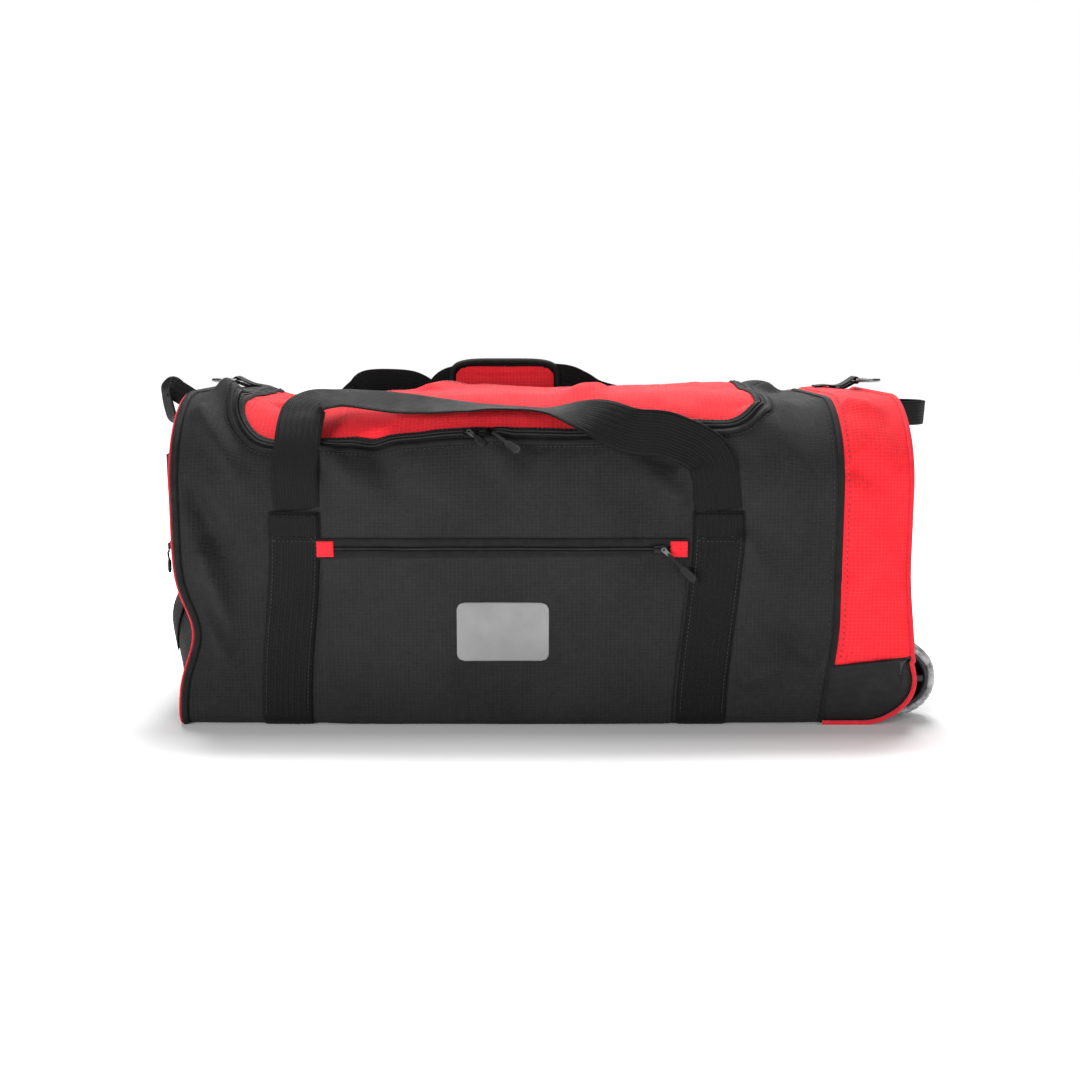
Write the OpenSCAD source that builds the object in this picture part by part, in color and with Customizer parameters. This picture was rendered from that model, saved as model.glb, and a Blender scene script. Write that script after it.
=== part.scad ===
// Rolling duffel bag: a soft zipped body with a rigid base board, two wheels in moulded
// housings at one end, a hinged top lid, two carry handles and outer pockets.
// +X runs towards the wheel end, -Y is the front face, +Z is up, and z = 0 is the floor.

/* [Body] */
// Length of the body from the left end seam to the wheel end
body_l = 740; // [600:1:900]
// Width of the body from front to back
body_w = 350; // [300:1:420]
// Height of the body
body_h = 335; // [280:1:410]
// Radius of the long top shoulders
shoulder_r = 95; // [76:1:100]
// Radius of the long bottom edges
base_r = 14; // [8:1:20]
// Thickness of the padded fabric wall
wall = 3; // [2:0.5:5]
// Length of the wheel-end section beyond its ring seam
wheel_bay_l = 79; // [74:1:110]
// Radius of the wheel-end bottom corners seen from the front
end_corner_r = 45; // [30:1:55]
// How far the left end panel is domed outwards
dome_d = 22; // [10:1:35]
// Width of the sloping rim of the domed left end panel
dome_slope = 60; // [40:1:80]
// Height of the black guard around the wheels
guard_h = 68; // [60:1:100]

/* [Lid] */
// Distance from the left end seam to the lid
lid_inset_left = 66; // [50:1:120]
// Distance from the lid to the ring seam
lid_inset_right = 81; // [50:1:120]
// Radius of the lid's front corners
lid_corner_r = 60; // [30:1:75]
// Elevation on the front shoulder where the lid ends, in degrees
lid_front_elev = 36; // [25:1:50]
// Distance of the lid's hinge line behind the middle of the body
hinge_y = 75; // [60:1:78]
// Width of the zip tape around the lid
zip_w = 12; // [10:0.5:16]
// Width of the bound edge of the lid
bind_w = 6; // [4:0.5:8]
// Clearance between the two halves of the zip
zip_gap = 0.8; // [0.6:0.1:1.2]

/* [Webbing] */
// Width of the strap and handle webbing
web_w = 50; // [40:1:60]
// Thickness of the webbing
web_t = 2; // [1.5:0.1:3]
// Distance of the left straps from the middle of the body
strap_left_x = 254; // [230:1:275]
// Distance of the right straps from the middle of the body
strap_right_x = 165; // [120:1:190]
// Distance below the shoulders at which the carry handles leave the straps
handle_drop = 18; // [10:1:40]
// Width of the narrow webbing loops at the ends
loop_w = 25; // [20:1:30]

/* [Pockets] */
// Height of the front pocket's zip
pocket_zip_z = 184; // [150:1:200]
// How far the front pocket stands out
pocket_t = 5; // [3:0.5:8]
// Height of the end pocket's zip
end_zip_z = 172; // [140:1:190]
// How far the lower part of the end pocket stands out
end_pocket_t = 10; // [6:1:16]
// Width of the end pocket
end_pocket_w = 224; // [180:1:228]

/* [Wheels] */
// Diameter of a wheel over its tyre
wheel_d = 80; // [66:1:96]
// Width of a wheel
wheel_w = 28; // [22:1:30]
// Distance of each wheel's middle plane from the middle of the body
wheel_y = 133; // [125:1:136]
// Gap between a wheel and the floor while the bag rests on its base
wheel_lift = 2; // [1:0.5:4]
// How far a wheel stands out beyond the wheel end
wheel_out = 32; // [25:1:36]
// Diameter of the axle bolts
axle_d = 8; // [6:0.5:10]
// Radial running clearance between a bearing and its axle
bearing_fit = 0.05; // [0.02:0.01:0.08]

/* [Hidden] */
$fn = 64;

BLACK = "#2b2b2d";
WEB = "#1c1c1d";
RED = "#e8323c";
GREY = "#8a8c90";
STEEL = "#b8babd";

half_l = body_l / 2;
half_w = body_w / 2;
ring_x = half_l - wheel_bay_l;
shoulder_y = half_w - shoulder_r;
shoulder_z = body_h - shoulder_r;
base_top = base_r + 16;
handle_z = shoulder_z - handle_drop;
far = 2000;

// Lid outline, in a plane tilted so that it faces the front shoulder
tilt = 45;
lid_x0 = -half_l + lid_inset_left;
lid_x1 = ring_x - lid_inset_right;
lid_v0 = tilted(-shoulder_y - shoulder_r * cos(lid_front_elev),
                shoulder_z + shoulder_r * sin(lid_front_elev));
prism_from = 150;
chain_g = 4;
bind_proud = 1.2;
coil_w = 1.6;
coil_h = 1.2;
half_gap = zip_gap / 2;

// Wheels
wheel_r = wheel_d / 2;
axle_x = half_l + wheel_out - wheel_r;
axle_z = wheel_r + wheel_lift;
tyre_t = 9;
housing_t = 3;
housing_side_gap = 3;
housing_r = wheel_r + 7;
bearing_r = 11;
bearing_w = 7;
bearing_d = axle_d + 2 * bearing_fit;
hub_r = wheel_r - tyre_t;
housing_in_w = wheel_w + 2 * housing_side_gap;
bolt_head_h = 4;
bolt_head_r = 7;
bolt_room = 8.5;

// Sliders and pulls
slider_l = 13;
slider_w = 8;
slider_h = 4;
slider_lift = coil_h + 0.35;
tape_elev = lid_front_elev - (chain_g + 0.3 + slider_w / 2) / shoulder_r * 180 / PI;
pull_lift = slider_lift + slider_h + 0.5;
pull_t = 2;
main_slider_gap = 2;
main_slider_x = -76;
pull_pin = 1.2;

// Front faces of what is sewn to the front panel
pocket_x0 = -strap_left_x + web_w / 2;
pocket_x1 = strap_right_x - web_w / 2;
strap_y = half_w + web_t;
patch_t = 2;
patch_h = 24;
patch_gap = 2.5;
handle_pivot_y = strap_y + patch_t + web_t / 2 + 0.8;
pocket_tape_h = 24;
tab_w = 18;
pocket_slider_x = pocket_x1 - tab_w - 10;
end_tape_h = 18;
end_grab_z = body_h - 90;
end_face_x = -half_l - dome_d;
end_pocket_z0 = dome_slope + 4;
end_slider_y = -end_pocket_w / 2 + 30;

function tilted(y, z) = y * cos(tilt) + z * sin(tilt);

// ---------- building blocks ----------

// Cross-section of the body in (y, z), set inwards by inset
module section(inset = 0) {
    hw = half_w - inset;
    rt = shoulder_r - inset;
    rb = max(base_r - inset, 1);
    top = body_h - inset;
    translate([-hw, inset + rb]) square([2 * hw, top - rt - inset - rb]);
    translate([-hw + rt, inset + rb]) square([2 * (hw - rt), top - inset - rb]);
    translate([-hw + rb, inset]) square([2 * (hw - rb), rb + 1]);
    for (s = [-1, 1]) {
        translate([s * (hw - rt), top - rt]) circle(rt, $fn = 96);
        translate([s * (hw - rb), inset + rb]) circle(rb);
    }
}

module along_x(x0, x1) {
    translate([x0, 0, 0]) rotate([90, 0, 90]) linear_extrude(x1 - x0) children();
}

// Outline of the body in (x, z): open to the left, rounded at the wheel-end bottom corner
module side_profile(inset = 0) {
    r = end_corner_r - inset;
    x1 = half_l - inset;
    translate([-body_l, inset + r]) square([body_l + x1, body_h]);
    translate([-body_l, inset]) square([body_l + x1 - r, r + 1]);
    translate([x1 - r, inset + r]) circle(r);
}

module across_y(y0 = -far, y1 = far) {
    translate([0, y1, 0]) rotate([90, 0, 0]) linear_extrude(y1 - y0) children();
}

// The filled body, set inwards by inset
module body_solid(inset, x0) {
    intersection() {
        along_x(x0, half_l - inset) section(inset);
        across_y() side_profile(inset);
    }
}

module body_shell() {
    difference() {
        body_solid(0, -half_l);
        body_solid(wall, -body_l);
    }
}

module slab(x0, x1, y0, y1, z0, z1) {
    translate([x0, y0, z0]) cube([x1 - x0, y1 - y0, z1 - z0]);
}

module shell_part(x0, x1, y0, y1, z0, z1) {
    intersection() {
        body_shell();
        slab(x0, x1, y0, y1, z0, z1);
    }
}

// Lid outline grown by g, as a prism that cuts the front shoulder squarely
module lid_prism(g = 0) {
    r = lid_corner_r + g;
    w = lid_x1 - lid_x0 + 2 * g;
    rotate([tilt, 0, 0]) translate([lid_x0 - g, lid_v0 - g, prism_from]) linear_extrude(far) {
        translate([0, r]) square([w, far]);
        translate([r, 0]) square([w - 2 * r, r + 1]);
        for (x = [r, w - r]) translate([x, r]) circle(r);
    }
}

// A band of the raised or lowered shell between two growths of the lid outline
module lid_band(g0, g1, proud, depth) {
    intersection() {
        along_x(lid_x0 - far, lid_x1 + far) difference() {
            section(-proud);
            section(depth);
        }
        difference() {
            lid_prism(g1);
            lid_prism(g0);
        }
        slab(-half_l, ring_x, -far, hinge_y - half_gap, shoulder_z, far);
    }
}

// Places children on the front shoulder: x along the bag, y up the slope, z outwards
module on_shoulder(x, elev) {
    translate([x, -shoulder_y, shoulder_z]) rotate([90 - elev, 0, 0]) translate([0, 0, shoulder_r])
        children();
}

// Places children on the front face: x along the bag, y up, z outwards
module on_front(x, z, y = half_w) {
    translate([x, -y, z]) rotate([90, 0, 0]) children();
}

module on_back(x, z, y = half_w) {
    translate([x, y, z]) rotate([90, 0, 180]) children();
}

// Flat plate with rounded corners, standing on the xy plane
module plate(w, h, t, r) {
    linear_extrude(t) {
        translate([-w / 2 + r, -h / 2]) square([w - 2 * r, h]);
        translate([-w / 2, -h / 2 + r]) square([w, h - 2 * r]);
        for (x = [-1, 1], y = [-1, 1]) translate([x * (w / 2 - r), y * (h / 2 - r)]) circle(r);
    }
}

// ---------- ribbon sweep for the carry handles ----------

function unit(v) = v / norm(v);
function route_dir(p, i) =
    unit(p[min(i + 1, len(p) - 1)][0] - p[max(i - 1, 0)][0]);
function ribbon_ring(p, i, w, t) =
    let (side = unit(cross(route_dir(p, i), p[i][1])), out = unit(cross(side, route_dir(p, i))))
    [for (c = [[-1, -1], [1, -1], [1, 1], [-1, 1]])
        p[i][0] + side * c[0] * w / 2 + out * c[1] * t / 2];

// Webbing along a route of [point, outward direction] pairs
module ribbon(p, w, t) {
    n = len(p);
    e = 4 * (n - 1);
    points = [for (i = [0:n - 1]) each ribbon_ring(p, i, w, t)];
    quads = [for (i = [0:n - 2], k = [0:3])
        [4 * i + k, 4 * i + 4 + k, 4 * i + 4 + (k + 1) % 4, 4 * i + (k + 1) % 4]];
    sides = [for (q = quads) each [[q[0], q[1], q[2]], [q[0], q[2], q[3]]]];
    polyhedron(points, concat(sides, [[0, 1, 2, 3], [e + 3, e + 2, e + 1, e]]), convexity = 6);
}

// ---------- body panels ----------

module bottom_panel() {
    color(BLACK) shell_part(-half_l, ring_x, -far, far, 0, base_top);
}

module front_panel() {
    color(BLACK) difference() {
        shell_part(-half_l, ring_x, -far, -shoulder_y, base_top, far);
        lid_prism(zip_w);
    }
}

module back_panel() {
    color(BLACK) shell_part(-half_l, ring_x, hinge_y, far, base_top, far);
}

module yoke(x0, x1) {
    color(BLACK) difference() {
        shell_part(x0, x1, -shoulder_y, hinge_y, shoulder_z, far);
        lid_prism(zip_w);
    }
}

module top_left_yoke() {
    yoke(-half_l, (lid_x0 + lid_x1) / 2);
}

module top_right_yoke() {
    yoke((lid_x0 + lid_x1) / 2, ring_x);
}

// Domed panel: a shallow frustum with its own wall
module dome(inset, x_out) {
    hull() {
        along_x(-half_l - 0.5, -half_l) section(inset);
        along_x(x_out, x_out + 0.5) section(inset + dome_slope);
    }
}

module left_end_panel() {
    color(BLACK) difference() {
        dome(0, end_face_x);
        translate([1, 0, 0]) dome(wall, end_face_x + wall);
    }
}

module left_end_piping() {
    color(RED) intersection() {
        along_x(-half_l - 4, -half_l + 1) difference() {
            section(-3);
            section(0);
        }
        slab(-far, far, -far, far, 0, far);
    }
}

// Room for the two housings and for the bolt heads and nuts beside them
module wheel_cut() {
    side = housing_in_w / 2 + housing_t;
    for (s = [-1, 1]) translate([0, s * wheel_y, 0]) {
        slab(axle_x - housing_r - housing_t, far, -side, side, -1, axle_z + housing_r + housing_t);
        axle_rod(-side - bolt_room, side + bolt_room, bolt_head_r + 1.5);
    }
}

module wheel_end_gusset() {
    color(RED) shell_part(ring_x, half_l - wall, -far, far, guard_h, far);
}

module wheel_end_guard() {
    color(BLACK) difference() {
        shell_part(ring_x, half_l - wall, -far, far, 0, guard_h);
        wheel_cut();
    }
}

module wheel_end_panel() {
    color(BLACK) difference() {
        shell_part(half_l - wall, half_l, -far, far, 0, far);
        wheel_cut();
    }
}

module wheel_end_piping() {
    rim = 3;
    color(RED) intersection() {
        difference() {
            union() {
                for (s = [-1, 1]) translate([0, s * (half_w - rim / 2), 0])
                    across_y(-rim, rim) difference() {
                        side_profile(-rim + 1);
                        side_profile(rim);
                    }
                along_x(half_l - rim, half_l + rim - 1) difference() {
                    section(-rim + 1);
                    section(rim);
                }
            }
            body_solid(0, -body_l);
            slab(-far, half_l - end_corner_r, -far, far, base_r, far);
            slab(-far, half_l + far, -half_w + rim, half_w - rim, -far, shoulder_z);
        }
        slab(ring_x, far, -far, far, 0, body_h + rim);
        union() {
            slab(ring_x, half_l + rim, -far, far, -1, end_corner_r);
            slab(half_l - rim, half_l + rim, -far, far, 0, far);
        }
        along_x(ring_x, far) section(-rim + 1);
    }
}

module ring_binding() {
    color(WEB) intersection() {
        along_x(ring_x - 3, ring_x + 3) difference() {
            section(-1.2);
            section(0);
        }
        slab(-far, far, -far, far, 0, far);
    }
}

module base_board() {
    color(WEB) slab(-half_l + 16, axle_x - housing_r - housing_t - 4, -half_w + 20, half_w - 20,
                    wall, wall + 3);
}

// ---------- wheels and housings ----------

// Moulded trough, open below and outwards, with a cheek on each side of the wheel
module wheel_housing() {
    x0 = axle_x - housing_r;
    top = axle_z + housing_r;
    side = housing_in_w / 2;
    color(WEB) difference() {
        slab(x0 - housing_t, half_l, -side - housing_t, side + housing_t, 0, top + housing_t);
        slab(x0, far, -side, side, -1, top);
        across_y() translate([axle_x, axle_z]) circle(d = axle_d);
    }
}

module wheel_housing_front() {
    translate([0, -wheel_y, 0]) wheel_housing();
}

module wheel_housing_back() {
    translate([0, wheel_y, 0]) wheel_housing();
}

module axle_rod(y0, y1, r) {
    across_y(y0, y1) translate([axle_x, axle_z]) circle(r);
}

module axle_bolts() {
    side = housing_in_w / 2 + housing_t;
    color(STEEL) for (s = [-1, 1]) translate([0, s * wheel_y, 0]) mirror([0, s > 0 ? 0 : 1, 0]) {
        axle_rod(-side - 8, side, axle_d / 2);
        axle_rod(side, side + bolt_head_h, bolt_head_r);
    }
}

module axle_nuts() {
    side = housing_in_w / 2 + housing_t;
    color(STEEL) for (s = [-1, 1]) translate([0, s * wheel_y, 0]) mirror([0, s > 0 ? 0 : 1, 0])
        difference() {
            translate([axle_x, -side, axle_z]) rotate([90, 0, 0]) cylinder(6.5, r = 7.5, $fn = 6);
            axle_rod(-far, far, axle_d / 2);
        }
}

module housing_rivets() {
    x = axle_x - housing_r - housing_t - 14;
    color(STEEL) for (s = [-1, 1], d = [-12, 12])
        translate([x, s * wheel_y + d, wall + 3]) cylinder(1.5, r = 4);
}

module tyre() {
    color(GREY) across_y(-wheel_w / 2, wheel_w / 2) translate([axle_x, axle_z]) difference() {
        circle(wheel_r);
        circle(hub_r);
    }
}

module hub() {
    color(WEB) difference() {
        across_y(-wheel_w / 2, wheel_w / 2) translate([axle_x, axle_z]) difference() {
            circle(hub_r);
            circle(axle_d / 2 + 1);
        }
        for (s = [-1, 1]) translate([0, s * (wheel_w / 2 - bearing_w / 2), 0])
            axle_rod(-bearing_w / 2 - 0.01, bearing_w / 2 + 0.01, bearing_r);
    }
}

module bearings() {
    color(STEEL) for (s = [-1, 1]) translate([0, s * (wheel_w / 2 - bearing_w / 2), 0])
        across_y(-bearing_w / 2, bearing_w / 2) translate([axle_x, axle_z]) difference() {
            circle(bearing_r);
            circle(d = bearing_d);
        }
}

module wheel_tyre_front() { translate([0, -wheel_y, 0]) tyre(); }
module wheel_hub_front() { translate([0, -wheel_y, 0]) hub(); }
module wheel_bearings_front() { translate([0, -wheel_y, 0]) bearings(); }
module wheel_tyre_back() { translate([0, wheel_y, 0]) tyre(); }
module wheel_hub_back() { translate([0, wheel_y, 0]) hub(); }
module wheel_bearings_back() { translate([0, wheel_y, 0]) bearings(); }

// ---------- webbing straps sewn to the body ----------

module strap(x, side) {
    color(WEB) slab(x - web_w / 2, x + web_w / 2, side > 0 ? half_w : -half_w - web_t,
                    side > 0 ? half_w + web_t : -half_w, base_r, handle_z);
}

module strap_front_left() { strap(-strap_left_x, -1); }
module strap_front_right() { strap(strap_right_x, -1); }
module strap_back_left() { strap(-strap_left_x, 1); }
module strap_back_right() { strap(strap_right_x, 1); }

module handle_anchor_patches() {
    color(WEB) for (x = [-strap_left_x, strap_right_x], s = [-1, 1])
        translate([x, s * (strap_y + patch_t / 2), handle_z - patch_gap - patch_h / 2])
            cube([web_w, patch_t, patch_h], center = true);
}

// ---------- front pocket ----------

module front_pocket_panel() {
    color(BLACK) slab(pocket_x0, pocket_x1, -half_w - pocket_t, -half_w, base_r,
                      pocket_zip_z - pocket_tape_h / 2);
}

module pocket_zip_tape() {
    color(WEB) {
        slab(pocket_x0, pocket_x1, -half_w - 2, -half_w, pocket_zip_z - pocket_tape_h / 2,
             pocket_zip_z + pocket_tape_h / 2);
        slab(pocket_x0 + tab_w, pocket_x1 - tab_w, -half_w - 2 - coil_h, -half_w - 2,
             pocket_zip_z - coil_w, pocket_zip_z + coil_w);
    }
}

module pocket_zip_tabs() {
    color(RED) for (x = [pocket_x0, pocket_x1 - tab_w])
        slab(x, x + tab_w, -half_w - 3.5, -half_w - 2, pocket_zip_z - 8, pocket_zip_z + 8);
}

// Plain reflective patch on the pocket
module front_patch() {
    color(GREY) on_front(-44, 100, half_w + pocket_t) plate(92, 60, 0.8, 8);
}

// ---------- left end ----------

// Thin below the zip, where the pull hangs, and fuller lower down
module end_pocket_panel() {
    top = end_zip_z - end_tape_h / 2;
    color(BLACK) across_y(-end_pocket_w / 2, end_pocket_w / 2)
        polygon([[end_face_x, end_pocket_z0], [end_face_x, top], [end_face_x - 2, top],
                 [end_face_x - 2, top - 26], [end_face_x - end_pocket_t, top - 44],
                 [end_face_x - end_pocket_t, end_pocket_z0]]);
}

module end_pocket_zip_tape() {
    color(WEB) {
        slab(end_face_x - 2, end_face_x, -end_pocket_w / 2, end_pocket_w / 2,
             end_zip_z - end_tape_h / 2, end_zip_z + end_tape_h / 2);
        slab(end_face_x - 2 - coil_h, end_face_x - 2, -end_pocket_w / 2 + 10,
             end_pocket_w / 2 - 10, end_zip_z - coil_w, end_zip_z + coil_w);
    }
}

// Webbing bridge with feet, its opening facing along the width of the webbing
module bridge_2d(span, rise, foot, t) {
    difference() {
        translate([0, -span / 2]) square([rise, span]);
        translate([-1, -span / 2 + t]) square([rise - t + 1, span - 2 * t]);
    }
    for (s = [-1, 1]) translate([0, s * (span + foot) / 2 - foot / 2]) square([t, foot]);
}

module end_grab_handle() {
    color(WEB) translate([end_face_x, 0, end_grab_z]) mirror([1, 0, 0]) translate([0, 0, -20])
        linear_extrude(40) bridge_2d(120, 22, 26, 2.5);
}

// Loop of webbing that bridges the top edge of the left end, sewn to the top and to the dome
module left_corner_loop() {
    x = -half_l + 12;
    x_out = -half_l - 34;
    z_top = body_h + 14;
    z_foot = body_h - 37;
    t = 2;
    dome_x = -half_l - dome_d * (body_h - z_foot) / dome_slope;
    color(WEB) translate([0, -shoulder_y - 6, 0]) across_y(-loop_w / 2, loop_w / 2) {
        polygon([[x, body_h], [x, z_top], [x_out, z_top], [x_out, z_foot], [dome_x - 0.5, z_foot],
                 [dome_x - 0.5, z_foot + t], [x_out + t, z_foot + t], [x_out + t, z_top - t],
                 [x - t, z_top - t], [x - t, body_h]]);
    }
}

module wheel_end_loop() {
    color(WEB) translate([half_l, 14 - shoulder_y, body_h - 23 - loop_w / 2])
        linear_extrude(loop_w) bridge_2d(56, 28, 12, 2);
}

// ---------- D-rings ----------

d_ring_x = half_l - 16;
d_ring_y = 60;
d_ring_wire = 4;
d_ring_z = body_h + 5.5;
d_ring_in = loop_w + 3;

module d_ring_tabs() {
    r = d_ring_wire / 2 + 0.4;
    color(WEB) for (s = [-1, 1]) mirror([s > 0 ? 0 : 1, 0, 0]) translate([d_ring_x, d_ring_y, 0])
        across_y(-loop_w / 2, loop_w / 2) difference() {
            union() {
                translate([0, d_ring_z]) circle(r + 2);
                translate([-40, body_h]) square([40, d_ring_z - body_h]);
            }
            translate([0, d_ring_z]) circle(r);
            translate([-far, -far]) square([2 * far, far + body_h]);
        }
}

// Ring in its own plane: a straight bar along y at x = 0 and a bow out to x = reach
module d_ring() {
    reach = 26;
    w = d_ring_wire / 2;
    y = d_ring_in / 2 + w;
    color(STEEL) {
        rotate([90, 0, 0]) cylinder(2 * y, r = w, center = true);
        for (s = [-1, 1]) translate([0, s * y, 0]) {
            sphere(w);
            rotate([0, 90, 0]) cylinder(reach - y + w, r = w);
        }
        translate([reach - y + w, 0, 0]) rotate([0, 0, -90]) rotate_extrude(angle = 180)
            translate([y, 0]) circle(w);
    }
}

module d_ring_right() {
    translate([d_ring_x, d_ring_y, d_ring_z]) d_ring();
}

module d_ring_left() {
    mirror([1, 0, 0]) d_ring_right();
}

// ---------- main zip and lid ----------

module main_zip_tape() {
    color(WEB) lid_band(chain_g + half_gap, zip_w, 0, wall);
}

module main_zip_teeth() {
    color(WEB) lid_band(chain_g + half_gap, chain_g + half_gap + coil_w, coil_h, 0);
}

module lid_panel() {
    color(RED) intersection() {
        along_x(lid_x0, lid_x1) difference() {
            section(0);
            section(wall);
        }
        lid_prism(-bind_w);
        slab(-far, far, -far, hinge_y - half_gap, shoulder_z, far);
    }
}

module lid_binding() {
    color(WEB) lid_band(-bind_w, chain_g - half_gap - coil_w, bind_proud, wall);
}

module lid_zip_teeth() {
    color(WEB) lid_band(chain_g - half_gap - coil_w, chain_g - half_gap, coil_h, wall);
}

// ---------- zip sliders and pulls ----------

module slider() {
    color(WEB) translate([0, 0, slider_lift]) {
        plate(slider_l, slider_w, slider_h - 1.5, 2.5);
        translate([-slider_l / 2 + 2, -1, 0]) cube([slider_l - 4, 2, slider_h]);
    }
}

// Pull lying along its own -45 degree line, pivoting at the origin
module pull(length) {
    color(WEB) rotate([0, 0, -45]) {
        translate([0, -1.6, -pull_t / 2]) cube([length, 3.2, pull_t]);
        translate([length - 14, -4, -pull_t / 2]) cube([14, 8, pull_t]);
        rotate([90, 0, 0]) cylinder(5, r = pull_pin, center = true);
    }
}

module main_slider(x) { on_shoulder(x, tape_elev) slider(); }
module main_pull(x, length) {
    on_shoulder(x + 3, tape_elev) translate([0, 0, pull_lift + pull_t / 2]) pull(length);
}
main_slider_right_x = main_slider_x + slider_l + main_slider_gap;

module main_slider_left() { main_slider(main_slider_x); }
module main_pull_left() { main_pull(main_slider_x - 4, 22); }
module main_slider_right() { main_slider(main_slider_right_x); }
module main_pull_right() { main_pull(main_slider_right_x, 46); }

module pocket_slider() {
    on_front(pocket_slider_x, pocket_zip_z, half_w + 2) slider();
}

module pocket_pull() {
    on_front(pocket_slider_x + 3, pocket_zip_z, half_w + 2)
        translate([0, 0, pull_lift + pull_t / 2]) pull(44);
}

module on_end(y, z) {
    translate([end_face_x - 2, y, z]) rotate([90, 0, -90]) children();
}

module end_slider() {
    on_end(end_slider_y, end_zip_z) slider();
}

module end_pull() {
    on_end(end_slider_y, end_zip_z) translate([0, 0, pull_lift + pull_t / 2])
        rotate([0, 0, -45]) pull(30);
}

// ---------- carry handles ----------

// A point of a handle: u runs from the left strap to the right one, elev climbs the shoulder
// on the given side (-1 front, 1 back), and rise is how fast it leaves the surface
leg_lift = handle_pivot_y - half_w;
function handle_x(u) = -strap_left_x + u * (strap_left_x + strap_right_x);
function over(side, u, elev, rise, most, lean = 1) =
    let (r = shoulder_r + min(leg_lift + rise * elev, most))
    [[handle_x(u), side * (shoulder_y + r * cos(elev)), shoulder_z + r * sin(elev)],
     [0, side * cos(elev * lean), sin(elev * lean)]];
function leg(side, u) = [[handle_x(u), side * handle_pivot_y, handle_z], [0, side, 0]];

// Front handle: up from the left strap, along the front shoulder and down to the right strap
function front_over(u, elev) = over(-1, u, elev, 0.18, 10.5);
front_route = [
    leg(-1, 0), front_over(0.005, 6), front_over(0.012, 24), front_over(0.021, 41),
    front_over(0.041, 55), front_over(0.076, 63), front_over(0.134, 68), front_over(0.205, 70),
    front_over(0.344, 68), front_over(0.511, 65), front_over(0.654, 60), front_over(0.773, 50),
    front_over(0.869, 39), front_over(0.936, 27), front_over(0.979, 16), front_over(0.995, 4),
    leg(-1, 1)
];

// Rear handle: stands up off the rear shoulder, with the grip in the middle of its run
grip_elev = 52;
grip_u = 0.49;
function rear_over(u, elev) = over(1, u, elev, 0.36, 24.5, 0.22);
rear_route = [
    leg(1, 0), rear_over(0.005, 6), rear_over(0.014, 22), rear_over(0.033, 36),
    rear_over(0.072, 46), rear_over(0.134, 51), rear_over(0.212, 54), rear_over(0.339, grip_elev),
    rear_over(grip_u, grip_elev), rear_over(0.64, grip_elev), rear_over(0.75, 51),
    rear_over(0.845, 46), rear_over(0.926, 36), rear_over(0.974, 23), rear_over(0.995, 6),
    leg(1, 1)
];

grip_slot_t = web_t + 0.8;
grip_slot_h = web_w - 2;
grip_l = 126;
grip_h = 58;
grip_t = 4;

module front_handle() {
    color(WEB) ribbon(front_route, web_w - 4, web_t);
}

module rear_handle() {
    color(WEB) ribbon(rear_route, web_w - 4, web_t);
}

module on_grip() {
    translate(rear_over(grip_u, grip_elev)[0]) rotate([90 + 0.22 * grip_elev, 0, 0]) children();
}

module grip_sleeve(l, h, r) {
    difference() {
        translate([0, 0, -grip_t - web_t / 2]) plate(l, h, 2 * grip_t + web_t, r);
        translate([-far, -grip_slot_h / 2, -grip_slot_t / 2]) cube([2 * far, grip_slot_h, grip_slot_t]);
    }
}

module grip_wrap() {
    color(RED) on_grip() grip_sleeve(grip_l - 8, grip_h - 8, 10);
}

module grip_binding() {
    color(WEB) on_grip() difference() {
        grip_sleeve(grip_l, grip_h, 14);
        translate([0, 0, -50]) plate(grip_l - 8, grip_h - 8, 100, 10);
    }
}

bottom_panel();
front_panel();
back_panel();
top_left_yoke();
top_right_yoke();
left_end_panel();
left_end_piping();
wheel_end_gusset();
wheel_end_guard();
wheel_end_panel();
wheel_end_piping();
ring_binding();
base_board();
wheel_housing_front();
wheel_housing_back();
axle_bolts();
axle_nuts();
housing_rivets();
strap_front_left();
strap_front_right();
strap_back_left();
strap_back_right();
handle_anchor_patches();
front_pocket_panel();
pocket_zip_tape();
pocket_zip_tabs();
front_patch();
end_pocket_panel();
end_pocket_zip_tape();
end_grab_handle();
left_corner_loop();
wheel_end_loop();
d_ring_tabs();
main_zip_tape();
main_zip_teeth();
lid_panel();
lid_binding();
lid_zip_teeth();
main_slider_left();
main_pull_left();
main_slider_right();
main_pull_right();
pocket_slider();
pocket_pull();
end_slider();
end_pull();
front_handle();
rear_handle();
grip_wrap();
grip_binding();
wheel_tyre_front();
wheel_hub_front();
wheel_bearings_front();
wheel_tyre_back();
wheel_hub_back();
wheel_bearings_back();
d_ring_left();
d_ring_right();
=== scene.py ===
import math

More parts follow.
